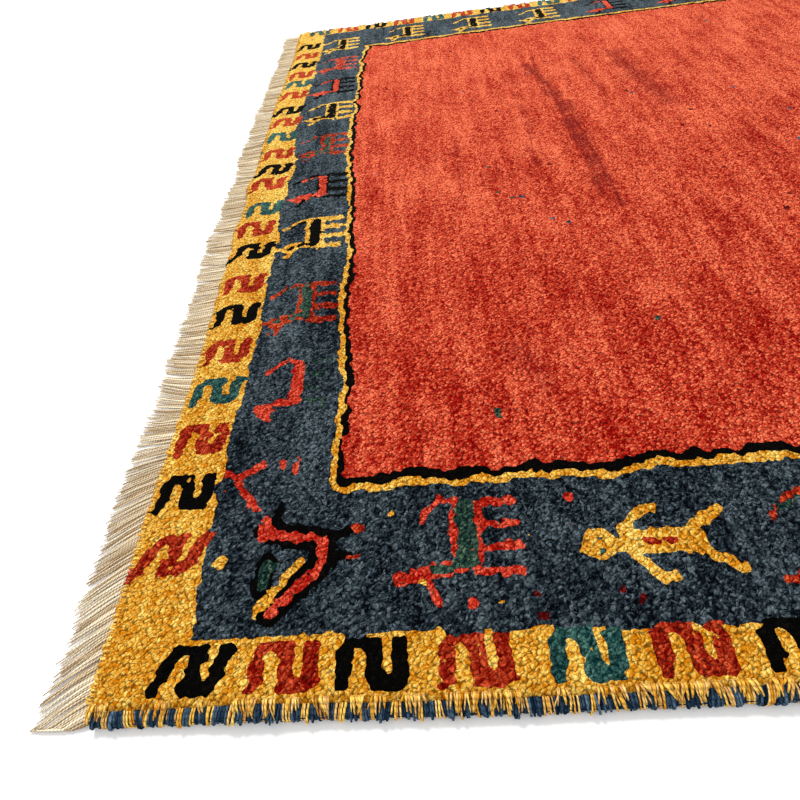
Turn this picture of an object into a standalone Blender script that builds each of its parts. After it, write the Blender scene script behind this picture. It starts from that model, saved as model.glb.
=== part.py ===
"""Gabbeh rug: a knotted wool pile on its weave, two overcast side cords and a warp fringe at each end.

The rug lies flat on the floor, which is z = 0. Its warps run along X, from fringe to fringe, and its
knot rows run along Y. All sizes are in metres.
"""
import math
import random
from dataclasses import dataclass

import bmesh
import bpy
from mathutils import Matrix

LENGTH = 2.400
WIDTH = 1.700
PILE_HEIGHT = 0.014
GAP = 0.0003

SELVEDGE_WIDTH = 0.014
SELVEDGE_HEIGHT = 0.0085
SELVEDGE_SIDES = 10
SELVEDGE_STEPS = 48

STRIP_WIDTH = 0.007
STRIP_HEIGHT = 0.0045
FRINGE_LENGTH = 0.055
FRINGE_LOCKS = 96
LOCK_SHARE = 0.56
LOCK_TIP_SHARE = 0.62
LOCK_TIP_HEIGHT = 0.003
LOCK_LEAN = 0.0045
LOCK_SHORTEST = 0.80

GRID_ALONG = 48
GRID_ACROSS = 34
RIM_CUTS = 3
RIM_WIDTH = 0.009
RIM_DROP = 0.0012
LIP_RISE = 0.0012
LIP_REACH = 0.0052
LIP_RECESS = 0.0012
UNDER_LIP_SIDE = 0.0114
UNDER_LIP_END = 0.0053
LUMP_HEIGHT = 0.0008
WAVE_FADE = 0.160


@dataclass(frozen=True)
class Bulge:
    """A soft outward bulge of an edge: its place along the edge, its spread and its reach."""

    at: float
    spread: float
    reach: float


END_BULGES = (
    Bulge(at=0.400, spread=0.110, reach=-0.0045),
    Bulge(at=0.685, spread=0.026, reach=0.0060),
    Bulge(at=0.830, spread=0.030, reach=0.0080),
    Bulge(at=1.000, spread=0.060, reach=0.0040),
    Bulge(at=1.170, spread=0.100, reach=0.0050),
    Bulge(at=1.480, spread=0.080, reach=-0.0030),
)
SIDE_BULGES = (
    Bulge(at=0.330, spread=0.120, reach=0.0015),
    Bulge(at=0.900, spread=0.140, reach=-0.0025),
    Bulge(at=1.500, spread=0.180, reach=0.0030),
    Bulge(at=2.060, spread=0.090, reach=-0.0020),
)
SIDE_LIFTS = (
    Bulge(at=0.135, spread=0.035, reach=0.0020),
    Bulge(at=0.560, spread=0.060, reach=0.0012),
    Bulge(at=1.380, spread=0.090, reach=0.0016),
    Bulge(at=2.020, spread=0.060, reach=0.0012),
)


def swell(rows: tuple, at: float) -> float:
    """Sum of the rows' bulges at a distance along the edge."""
    return sum(row.reach * math.exp(-(((at - row.at) / row.spread) ** 2)) for row in rows)


def end_wave(y: float) -> float:
    """How far the left end stands out at y; the right end is the same edge turned half round."""
    return swell(END_BULGES, y + WIDTH / 2)


def side_wave(x: float) -> float:
    """How far the near side stands out at x; the far side is the same edge turned half round."""
    return swell(SIDE_BULGES, x + LENGTH / 2)


def side_lift(x: float) -> float:
    """How far the near cord is off the floor at x."""
    return swell(SIDE_LIFTS, x + LENGTH / 2)


def lump(x: float, y: float) -> float:
    """Soft unevenness of the pile's top."""
    broad = math.sin(17.0 * x + 9.0 * y) * math.sin(13.0 * y - 5.0 * x)
    fine = math.sin(53.0 * x + 1.3) * math.sin(47.0 * y + 0.4)
    return LUMP_HEIGHT * (0.6 * broad + 0.4 * fine)


def wall_x(y: float, end: float) -> float:
    """X of the slab's lower wall at an end: end is -1 for the left one, 1 for the right one."""
    return end * (LENGTH / 2 + end_wave(-end * y))


def wall_y(x: float, side: float) -> float:
    """Y of the slab's lower wall at a side: side is -1 for the near one, 1 for the far one."""
    return side * (WIDTH / 2 - SELVEDGE_WIDTH - GAP + side_wave(-side * x))


def new_material(name: str, colour: tuple, roughness: float) -> bpy.types.Material:
    """A plain Principled material."""
    material = bpy.data.materials.new(name)
    material.use_nodes = True
    shader = material.node_tree.nodes["Principled BSDF"]
    shader.inputs["Base Color"].default_value = (*colour, 1.0)
    shader.inputs["Roughness"].default_value = roughness
    shader.inputs["Metallic"].default_value = 0.0
    return material


def new_object(name: str, mesh: bmesh.types.BMesh, material: bpy.types.Material) -> bpy.types.Object:
    """Turn a bmesh into an object of the rug's collection, with its faces pointing out."""
    bmesh.ops.recalc_face_normals(mesh, faces=mesh.faces)
    if mesh.calc_volume(signed=True) < 0.0:
        bmesh.ops.reverse_faces(mesh, faces=mesh.faces)
    data = bpy.data.meshes.new(name)
    mesh.to_mesh(data)
    mesh.free()
    data.materials.append(material)
    thing = bpy.data.objects.new(name, data)
    bpy.data.collections["gabbeh_rug"].objects.link(thing)
    return thing


def turned_copy(name: str, source: bpy.types.Object) -> bpy.types.Object:
    """A copy of a piece, turned half round about Z to the rug's opposite edge."""
    data = source.data.copy()
    data.name = name
    data.transform(Matrix.Rotation(math.pi, 4, "Z"))
    thing = bpy.data.objects.new(name, data)
    bpy.data.collections["gabbeh_rug"].objects.link(thing)
    return thing


def grid_place(unit: float, steps: int, half: float) -> float:
    """Place of a grid line: even between the rims, and closer in the outermost row."""
    inner = 1.0 - 2.0 / steps
    if abs(unit) <= inner:
        place = (half - RIM_WIDTH) * abs(unit) / inner
    else:
        place = half - RIM_WIDTH * (1.0 - abs(unit)) / (1.0 - inner)
    return math.copysign(place, unit)


def build_pile(material: bpy.types.Material) -> bpy.types.Object:
    """The weave and its pile as one lumpy slab, with locks that lean out over the edges."""
    rng = random.Random(7)
    mesh = bmesh.new()
    bmesh.ops.create_grid(mesh, x_segments=GRID_ALONG, y_segments=GRID_ACROSS, size=1.0)
    rim = [edge for edge in mesh.edges if edge.is_boundary]
    bmesh.ops.subdivide_edges(mesh, edges=rim, cuts=RIM_CUTS)

    under_lip = {}
    for count, vert in enumerate(mesh.verts):
        u, v = vert.co.x, vert.co.y
        at_end, at_side = abs(u) > 0.999, abs(v) > 0.999
        end, side = math.copysign(1.0, u), math.copysign(1.0, v)
        x = grid_place(u, GRID_ALONG, LENGTH / 2)
        y = grid_place(v, GRID_ACROSS, WIDTH / 2 - SELVEDGE_WIDTH - GAP)
        if at_end or at_side:
            base_x = wall_x(y, end) if at_end else x
            base_y = wall_y(x, side) if at_side else y
            lock = LIP_REACH * rng.uniform(0.45, 1.0) if count % 2 else LIP_RECESS
            under = UNDER_LIP_SIDE if at_side else UNDER_LIP_END
            under_lip[vert] = (base_x, base_y, under)
            vert.co = (
                base_x + (end * lock if at_end else 0.0),
                base_y + (side * lock if at_side else 0.0),
                under + LIP_RISE,
            )
            continue
        fade_x = max(0.0, 1.0 - (LENGTH / 2 - abs(x)) / WAVE_FADE)
        fade_y = max(0.0, 1.0 - (WIDTH / 2 - abs(y)) / WAVE_FADE)
        on_rim = abs(u) > 0.999 - 2.0 / GRID_ALONG or abs(v) > 0.999 - 2.0 / GRID_ACROSS
        vert.co = (
            x + end * end_wave(-end * y) * fade_x,
            y + side * side_wave(-side * x) * fade_y,
            PILE_HEIGHT + lump(x, y) - (RIM_DROP if on_rim else 0.0),
        )

    lip = [edge for edge in mesh.edges if edge.is_boundary]
    lip_verts = {vert.co.copy().freeze(): under_lip[vert] for vert in under_lip}
    made = bmesh.ops.extrude_edge_only(mesh, edges=lip)["geom"]
    upper = [item for item in made if isinstance(item, bmesh.types.BMVert)]
    for vert in upper:
        vert.co = lip_verts[vert.co.copy().freeze()]
    ring = [edge for edge in mesh.edges if edge.is_boundary]
    made = bmesh.ops.extrude_edge_only(mesh, edges=ring)["geom"]
    for vert in (item for item in made if isinstance(item, bmesh.types.BMVert)):
        vert.co.z = 0.0
    sole = [edge for edge in mesh.edges if edge.is_boundary]
    bmesh.ops.contextual_create(mesh, geom=sole)
    bmesh.ops.triangulate(mesh, faces=mesh.faces)
    return new_object("knotted_pile", mesh, material)


def build_selvedge(material: bpy.types.Material) -> bpy.types.Object:
    """The overcast cord along the near side: flat below, rounded above, upright next to the slab."""
    mesh = bmesh.new()
    turn = Matrix.Rotation(math.pi / 2, 4, "Y")
    bmesh.ops.create_cone(
        mesh,
        cap_ends=True,
        segments=SELVEDGE_SIDES,
        radius1=1.0,
        radius2=1.0,
        depth=LENGTH,
        matrix=turn,
    )
    long_edges = [edge for edge in mesh.edges if abs(edge.verts[0].co.x - edge.verts[1].co.x) > LENGTH / 2]
    bmesh.ops.subdivide_edges(mesh, edges=long_edges, cuts=SELVEDGE_STEPS - 1)
    for vert in mesh.verts:
        x, across, up = vert.co
        inner = wall_y(x, -1.0) - GAP
        y = inner - SELVEDGE_WIDTH / 2 * (1.0 - max(-1.0, min(1.0, 1.25 * across)))
        z = SELVEDGE_HEIGHT * max(0.0, min(1.0, 0.42 + 0.61 * up))
        vert.co = (x, y, z + side_lift(x))
    bmesh.ops.triangulate(mesh, faces=mesh.faces)
    return new_object("selvedge_near", mesh, material)


def build_fringe(material: bpy.types.Material) -> bpy.types.Object:
    """The left warp fringe: locks of warp ends that lie on the floor, out of one narrow strip."""
    rng = random.Random(19)
    span = WIDTH - 2 * SELVEDGE_WIDTH - 2 * RIM_WIDTH / 4
    pitch = span / FRINGE_LOCKS
    mesh = bmesh.new()
    bmesh.ops.create_grid(mesh, x_segments=1, y_segments=2 * FRINGE_LOCKS + 1, size=1.0)
    steps = sorted({round(vert.co.y, 5) for vert in mesh.verts})
    place = {}
    for count, step in enumerate(steps):
        lock, edge = divmod(count - 1, 2)
        centre = -span / 2 + (lock + 0.5) * pitch
        place[step] = centre + pitch * LOCK_SHARE * (edge - 0.5)
    place[steps[0]] = -span / 2
    place[steps[-1]] = span / 2
    for vert in mesh.verts:
        y = place[round(vert.co.y, 5)]
        inset = GAP if vert.co.x > 0 else STRIP_WIDTH
        vert.co = (wall_x(y, -1.0) - inset, y, 0.0)
    made = bmesh.ops.extrude_face_region(mesh, geom=mesh.faces[:])["geom"]
    for vert in (item for item in made if isinstance(item, bmesh.types.BMVert)):
        vert.co.z = STRIP_HEIGHT
    mesh.normal_update()

    outer = [face for face in mesh.faces if is_outer(face)]
    outer.sort(key=lambda face: face.calc_center_median().y)
    roots = outer[1::2]
    lean = 0.0
    for face in roots:
        lean = 0.7 * lean + 0.3 * rng.uniform(-2.2, 2.2)
        length = (FRINGE_LENGTH - STRIP_WIDTH) * rng.uniform(LOCK_SHORTEST, 1.0)
        sway = LOCK_LEAN * max(-1.0, min(1.0, lean))
        grow_lock(mesh, face, length, sway, pitch)
    bmesh.ops.triangulate(mesh, faces=mesh.faces)
    return new_object("fringe_left", mesh, material)


def is_outer(face: bmesh.types.BMFace) -> bool:
    """True for an upright face of the strip's outer edge."""
    middle = face.calc_center_median()
    upright = max(vert.co.z for vert in face.verts) - min(vert.co.z for vert in face.verts) > STRIP_HEIGHT / 2
    return upright and middle.x < wall_x(middle.y, -1.0) - STRIP_WIDTH * 0.75


def grow_lock(mesh: bmesh.types.BMesh, root: bmesh.types.BMFace, length: float, sway: float, pitch: float):
    """Draw one lock out of its root face in two steps, narrower and lower at its tip."""
    centre = root.calc_center_median().copy()
    halves = ((0.45, 0.35), (1.0, 1.0))
    face = root
    for reach, bend in halves:
        face = bmesh.ops.extrude_discrete_faces(mesh, faces=[face])["faces"][0]
        half_width = pitch * LOCK_SHARE * 0.5 * (1.0 - (1.0 - LOCK_TIP_SHARE) * reach)
        height = STRIP_HEIGHT + (LOCK_TIP_HEIGHT - STRIP_HEIGHT) * reach
        for vert in face.verts:
            top = vert.co.z > STRIP_HEIGHT / 4
            right = vert.co.y > centre.y + (sway * halves[0][1] if reach == 1.0 else 0.0)
            vert.co = (
                centre.x - length * reach,
                centre.y + sway * bend + (half_width if right else -half_width),
                height if top else 0.0,
            )


def main() -> None:
    """Clear the scene and build the rug's five pieces."""
    for thing in list(bpy.data.objects):
        bpy.data.objects.remove(thing, do_unlink=True)
    collection = bpy.data.collections.new("gabbeh_rug")
    bpy.context.scene.collection.children.link(collection)

    wool = new_material("wool_pile", (0.560, 0.075, 0.022), 0.95)
    wrap = new_material("selvedge_wool", (0.560, 0.330, 0.090), 0.90)
    warp = new_material("fringe_warp", (0.520, 0.390, 0.260), 0.90)
    build_pile(wool)
    near = build_selvedge(wrap)
    turned_copy("selvedge_far", near)
    left = build_fringe(warp)
    turned_copy("fringe_right", left)


main()
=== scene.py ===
"""Looks of a gabbeh rug: knotted pile, overcast side cords, warp fringes and woven ground.

The rug lies flat on the floor, z = 0. X runs along its warps, from the left fringe to the right one,
and Y across it, from the near side to the far one. Sizes are in metres. Places in the design are
counted in knots from the near left corner of the pile.
"""
import logging
import math
from dataclasses import dataclass, field, replace
from enum import Enum, IntEnum

import bpy
import numpy as np
from mathutils import Matrix, Vector


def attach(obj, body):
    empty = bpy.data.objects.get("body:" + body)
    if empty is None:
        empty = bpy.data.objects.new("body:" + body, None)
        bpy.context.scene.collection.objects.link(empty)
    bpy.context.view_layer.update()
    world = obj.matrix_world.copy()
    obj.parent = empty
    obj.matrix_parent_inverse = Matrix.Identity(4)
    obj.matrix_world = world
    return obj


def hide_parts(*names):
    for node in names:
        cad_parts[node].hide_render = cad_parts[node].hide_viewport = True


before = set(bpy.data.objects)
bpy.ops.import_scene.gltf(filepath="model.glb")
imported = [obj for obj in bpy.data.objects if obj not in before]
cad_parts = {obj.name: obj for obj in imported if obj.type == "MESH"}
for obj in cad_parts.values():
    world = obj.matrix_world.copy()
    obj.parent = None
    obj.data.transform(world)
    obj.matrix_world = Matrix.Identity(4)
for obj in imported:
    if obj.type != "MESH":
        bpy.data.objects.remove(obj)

LOG = logging.getLogger("gabbeh_rug")
BODY = "root"
BAKE_MAP = "OFBake"
DISPLAY_GAMMA = 2.2
Point = tuple[float, float]
Course = tuple[Point, ...]


class Dye(IntEnum):
    """The wools on the weaver's shelf."""

    SAFFRON = 0
    INDIGO = 1
    BLACK = 2
    MADDER = 3
    TEAL = 4
    GREEN = 5
    CORAL = 6
    FIELD = 7
    WINE = 8
    SLATE = 9
    STRAW = 10
    UNDYED = 11


class Side(Enum):
    """An edge of the rug: its name and its way out along X and Y."""

    NEAR = ("near", 0, -1)
    FAR = ("far", 0, 1)
    LEFT = ("left", -1, 0)
    RIGHT = ("right", 1, 0)

    @property
    def label(self) -> str:
        """Name used for the pieces on this edge."""
        return self.value[0]

    @property
    def way(self) -> int:
        """Sign of the way out."""
        return self.value[1] + self.value[2]


@dataclass(frozen=True)
class DyeTone:
    """How one wool takes its dye.

    Attributes:
        deep: darkest shade, as display red, green and blue from 0 to 255.
        bright: lightest shade, in the same way.
    """

    deep: tuple[int, int, int]
    bright: tuple[int, int, int]


PALETTE = {
    Dye.SAFFRON: DyeTone((192, 110, 10), (255, 218, 114)),
    Dye.INDIGO: DyeTone((2, 9, 15), (98, 110, 116)),
    Dye.BLACK: DyeTone((2, 2, 2), (22, 18, 15)),
    Dye.MADDER: DyeTone((104, 8, 0), (216, 90, 54)),
    Dye.TEAL: DyeTone((10, 40, 42), (86, 124, 112)),
    Dye.GREEN: DyeTone((10, 32, 32), (92, 114, 92)),
    Dye.CORAL: DyeTone((146, 14, 6), (244, 108, 80)),
    Dye.FIELD: DyeTone((132, 4, 0), (255, 126, 88)),
    Dye.WINE: DyeTone((50, 4, 6), (128, 36, 32)),
    Dye.SLATE: DyeTone((14, 30, 46), (100, 122, 142)),
    Dye.STRAW: DyeTone((170, 108, 34), (244, 202, 128)),
    Dye.UNDYED: DyeTone((158, 124, 84), (255, 242, 212)),
}


@dataclass(frozen=True)
class Bulge:
    """A soft outward bulge of an edge: its place along the edge, its spread and its reach."""

    at: float
    spread: float
    reach: float


END_BULGES = (
    Bulge(0.400, 0.110, -0.0045),
    Bulge(0.685, 0.026, 0.0060),
    Bulge(0.830, 0.030, 0.0080),
    Bulge(1.000, 0.060, 0.0040),
    Bulge(1.170, 0.100, 0.0050),
    Bulge(1.480, 0.080, -0.0030),
)
SIDE_BULGES = (
    Bulge(0.330, 0.120, 0.0015),
    Bulge(0.900, 0.140, -0.0025),
    Bulge(1.500, 0.180, 0.0030),
    Bulge(2.060, 0.090, -0.0020),
)
SIDE_LIFTS = (
    Bulge(0.135, 0.035, 0.0020),
    Bulge(0.560, 0.060, 0.0012),
    Bulge(1.380, 0.090, 0.0016),
    Bulge(2.020, 0.060, 0.0012),
)


def swell(rows: tuple[Bulge, ...], at: np.ndarray) -> np.ndarray:
    """Add up bulges along an edge.

    Args:
        rows: the edge's bulges.
        at: distances along the edge.

    Returns:
        How far the edge stands out at each distance.
    """
    at = np.asarray(at, dtype=float)
    return sum(row.reach * np.exp(-(((at - row.at) / row.spread) ** 2)) for row in rows)


def shown(colour: tuple[int, int, int]) -> tuple[float, float, float, float]:
    """Turn a display colour from 0 to 255 into shares, with full alpha."""
    return (*(part / 255.0 for part in colour), 1.0)


def wander(rng: np.random.Generator, count: int, spread: float, rows: int = 1) -> np.ndarray:
    """Draw wandering lines about zero.

    Args:
        rng: source of chance.
        count: number of values in a line.
        spread: how many values one swing takes.
        rows: number of lines.

    Returns:
        An array of rows by count, of about unit size.
    """
    reach = int(spread * 3) + 1
    kernel = np.exp(-((np.arange(-reach, reach + 1) / spread) ** 2))
    kernel /= math.sqrt(float((kernel**2).sum()))
    drawn = rng.normal(size=(rows, count + 2 * reach))
    return np.stack([np.convolve(row, kernel, mode="valid") for row in drawn])


def gap_to(points: Course, i: np.ndarray, j: np.ndarray) -> np.ndarray:
    """Measure how far places on the knot grid are from a line.

    Args:
        points: the line's points.
        i: knots from the left end.
        j: knots from the near side.

    Returns:
        The gap at each place, in knots.
    """
    least = np.full(np.shape(i), np.inf)
    for (x0, y0), (x1, y1) in zip(points, points[1:]):
        span_x, span_y = x1 - x0, y1 - y0
        share = np.clip(((i - x0) * span_x + (j - y0) * span_y) / (span_x**2 + span_y**2), 0.0, 1.0)
        least = np.minimum(least, np.hypot(i - x0 - share * span_x, j - y0 - share * span_y))
    return least


@dataclass(frozen=True)
class Loom:
    """The rug's size, its knot grid and the unevenness of its edges."""

    length: float = 2.400
    width: float = 1.700
    cord_width: float = 0.0143
    pile_height: float = 0.0138
    lump_height: float = 0.0008
    along: int = 686
    across: int = 478
    wave_fade: float = 0.160
    weave_drift: float = 0.0012

    @property
    def half_y(self) -> float:
        """Half the pile's width between the side cords."""
        return self.width / 2 - self.cord_width

    @property
    def pitch_x(self) -> float:
        """Width of a knot along X."""
        return self.length / self.along

    @property
    def pitch_y(self) -> float:
        """Width of a knot along Y."""
        return 2 * self.half_y / self.across

    def end_wave(self, y: np.ndarray, way: int) -> np.ndarray:
        """How far an end stands out at y; way is -1 for the left end and 1 for the right one."""
        return swell(END_BULGES, self.width / 2 - way * np.asarray(y))

    def side_wave(self, x: np.ndarray, way: int) -> np.ndarray:
        """How far a side stands out at x; way is -1 for the near side and 1 for the far one."""
        return swell(SIDE_BULGES, self.length / 2 - way * np.asarray(x))

    def side_lift(self, x: np.ndarray, way: int) -> np.ndarray:
        """How far a side's cord is off the floor at x."""
        return swell(SIDE_LIFTS, self.length / 2 - way * np.asarray(x))

    def wall(self, at: np.ndarray, side: Side) -> np.ndarray:
        """Find the pile's edge.

        Args:
            at: places along the edge, X for a side and Y for an end.
            side: the edge.

        Returns:
            Y of the edge for a side, or X for an end.
        """
        if side in (Side.NEAR, Side.FAR):
            return side.way * (self.half_y + self.side_wave(at, side.way))
        return side.way * (self.length / 2 + self.end_wave(at, side.way))

    def place(self, i: np.ndarray, j: np.ndarray) -> tuple[np.ndarray, np.ndarray]:
        """Find where grid lines cross on the rug.

        Args:
            i: knots from the left end.
            j: knots from the near side.

        Returns:
            X and Y of each crossing.
        """
        x = -self.length / 2 + i * self.pitch_x
        y = -self.half_y + j * self.pitch_y
        drift = self.weave_drift * np.sin(2.9 * x + 1.0) * np.sin(4.3 * y + 0.6)
        edge_x = np.clip(1.0 - (self.length / 2 - np.abs(x)) / self.wave_fade, 0.0, 1.0)
        edge_y = np.clip(1.0 - (self.half_y - np.abs(y)) / self.wave_fade, 0.0, 1.0)
        ends = np.where(x < 0, -self.end_wave(y, -1), self.end_wave(y, 1))
        sides = np.where(y < 0, -self.side_wave(x, -1), self.side_wave(x, 1))
        return x + ends * edge_x + drift * (1.0 - edge_x), y + sides * edge_y + drift * (1.0 - edge_y)

    def lump(self, x: np.ndarray, y: np.ndarray) -> np.ndarray:
        """Soft unevenness of the pile's top."""
        broad = np.sin(17.0 * x + 9.0 * y) * np.sin(13.0 * y - 5.0 * x)
        fine = np.sin(53.0 * x + 1.3) * np.sin(47.0 * y + 0.4)
        return self.lump_height * (0.6 * broad + 0.4 * fine)


@dataclass
class Draft:
    """A mesh being drawn up.

    Attributes:
        points: corners, one row each.
        quads: four corner numbers a face, counter-clockwise from outside.
        notes: attributes as name, domain, kind and values.
        layout: place of every face corner on the bake map.
    """

    points: np.ndarray
    quads: np.ndarray
    notes: list[tuple[str, str, str, np.ndarray]] = field(default_factory=list)
    layout: np.ndarray | None = None

    def note(self, name: str, domain: str, kind: str, values: np.ndarray) -> None:
        """Write an attribute on the mesh."""
        self.notes.append((name, domain, kind, values))

    def build(self, name: str, material: bpy.types.Material) -> bpy.types.Object:
        """Make the object.

        Args:
            name: the piece's name.
            material: its finish.

        Returns:
            The new object, in the scene.
        """
        mesh = bpy.data.meshes.new(name)
        mesh.vertices.add(len(self.points))
        mesh.vertices.foreach_set("co", np.ascontiguousarray(self.points, dtype=np.float32).ravel())
        mesh.loops.add(self.quads.size)
        mesh.loops.foreach_set("vertex_index", self.quads.astype(np.int32).ravel())
        mesh.polygons.add(len(self.quads))
        mesh.polygons.foreach_set("loop_start", np.arange(0, self.quads.size, 4, dtype=np.int32))
        mesh.update(calc_edges=True)
        for label, domain, kind, values in self.notes:
            made = mesh.attributes.new(label, kind, domain)
            slot = "vector" if kind == "FLOAT_VECTOR" else "value"
            made.data.foreach_set(slot, np.ascontiguousarray(values, dtype=np.float32).ravel())
        if self.layout is not None:
            layer = mesh.uv_layers.new(name=BAKE_MAP)
            layer.uv.foreach_set("vector", np.ascontiguousarray(self.layout, dtype=np.float32).ravel())
        mesh.shade_smooth()
        mesh.materials.append(material)
        made = bpy.data.objects.new(name, mesh)
        bpy.context.scene.collection.objects.link(made)
        return made


@dataclass(frozen=True)
class Strands:
    """Many strands of yarn of the same number of steps.

    Attributes:
        paths: middle lines, as strand, step and place.
        radii: radius at each step.
        dye: dye number of each strand.
        tone: shade of each strand, from 0 to 1.
        across: the way that the strands' width faces.
        squash: height of a strand as a share of its width.
    """

    MAP_MARGIN = 0.08
    CAP_INSET = 0.06
    CAP_SIZE = 0.01

    paths: np.ndarray
    radii: np.ndarray
    dye: np.ndarray
    tone: np.ndarray
    across: tuple[float, float, float] = (0.0, 1.0, 0.0)
    squash: float = 1.0

    def draft(self) -> Draft:
        """Draw the strands as closed four-sided tubes, with their yarn facts on every face corner."""
        count, steps = self.radii.shape
        run = np.gradient(self.paths, axis=1)
        run /= np.linalg.norm(run, axis=2, keepdims=True)
        out = np.asarray(self.across) - run * (run @ np.asarray(self.across))[..., None]
        out /= np.linalg.norm(out, axis=2, keepdims=True)
        lift = np.cross(run, out)
        turns = np.arange(4)
        angles = (turns + 0.5) * math.pi / 2
        reach = self.radii[..., None, None]
        wide = out[:, :, None] * np.cos(angles)[:, None]
        tall = lift[:, :, None] * np.sin(angles)[:, None] * self.squash
        points = (self.paths[:, :, None] + (wide + tall) * reach).reshape(-1, 3)
        number = np.arange(count * steps * 4).reshape(count, steps, 4)
        after = (turns + 1) % 4
        here, there = number[:, :-1], number[:, 1:]
        tube = np.stack([here, here[:, :, after], there[:, :, after], there], axis=-1)
        caps = np.stack([number[:, 0, ::-1], number[:, -1]], axis=1)
        quads = np.concatenate([tube.reshape(-1, 4), caps.reshape(-1, 4)])
        facts, layout = self._facts(turns)
        drawn = Draft(points, quads, layout=layout)
        drawn.note("strand", "CORNER", "FLOAT_VECTOR", facts)
        strand = np.arange(count)
        owner = np.concatenate([np.repeat(strand, (steps - 1) * 4), np.repeat(strand, 2)])
        drawn.note("dye", "FACE", "FLOAT", (self.dye[owner] + 0.5) / len(Dye))
        drawn.note("tone", "FACE", "FLOAT", self.tone[owner])
        return drawn

    def _facts(self, turns: np.ndarray) -> tuple[np.ndarray, np.ndarray]:
        """Work out the length, turn and chance of every face corner, and its place on the bake map."""
        count, steps = self.radii.shape
        stride = np.linalg.norm(np.diff(self.paths, axis=1), axis=2)
        length = np.concatenate([np.zeros((count, 1)), np.cumsum(stride, axis=1)], axis=1)
        share = length / length[:, -1:]
        chance = np.modf(np.arange(count) * 0.618034)[0]
        low, high = turns / 4.0, (turns + 1) / 4.0
        columns = math.ceil(math.sqrt(count))
        rows = math.ceil(count / columns)
        column, row = np.arange(count) % columns, np.arange(count) // columns

        def corners(first: np.ndarray, second: np.ndarray) -> tuple[np.ndarray, np.ndarray]:
            """Lay values at a face's two rings out as its four corners."""
            here = np.broadcast_to(first[:, :, None], (count, steps - 1, 4))
            there = np.broadcast_to(second[:, :, None], (count, steps - 1, 4))
            start, stop = np.broadcast_to(low, here.shape), np.broadcast_to(high, here.shape)
            return np.stack([here, here, there, there], -1), np.stack([start, stop, stop, start], -1)

        run, around = corners(length[:, :-1], length[:, 1:])
        luck = np.broadcast_to(chance[:, None, None, None], run.shape)
        tube = np.stack([run, around, luck], -1).reshape(-1, 3)
        part, _ = corners(share[:, :-1], share[:, 1:])
        left, floor = column[:, None, None, None], row[:, None, None, None]
        inner = 1.0 - 2 * self.MAP_MARGIN
        spot_u = (left + self.MAP_MARGIN + inner * part) / columns
        spot_v = (floor + self.MAP_MARGIN + inner * around) / rows
        spot = np.stack([spot_u, spot_v], -1).reshape(-1, 2)
        known = (length[:, [0, -1], None], low, chance[:, None, None])
        ends = [np.broadcast_to(one, (count, 2, 4)) for one in known]
        facts = np.concatenate([tube, np.stack(ends, -1).reshape(-1, 3)])
        places = np.array([self.CAP_INSET, 1.0 - self.CAP_INSET])[None, :, None]
        end_u = column[:, None, None] + places + self.CAP_SIZE * np.array([0.0, 1.0, 1.0, 0.0])
        tall = self.CAP_SIZE * np.array([0.0, 0.0, 1.0, 1.0])
        end_v = row[:, None, None] + 0.5 + tall + np.zeros((1, 2, 1))
        cap = np.stack([end_u / columns, end_v / rows], -1).reshape(-1, 2)
        return facts, np.concatenate([spot, cap])


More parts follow.
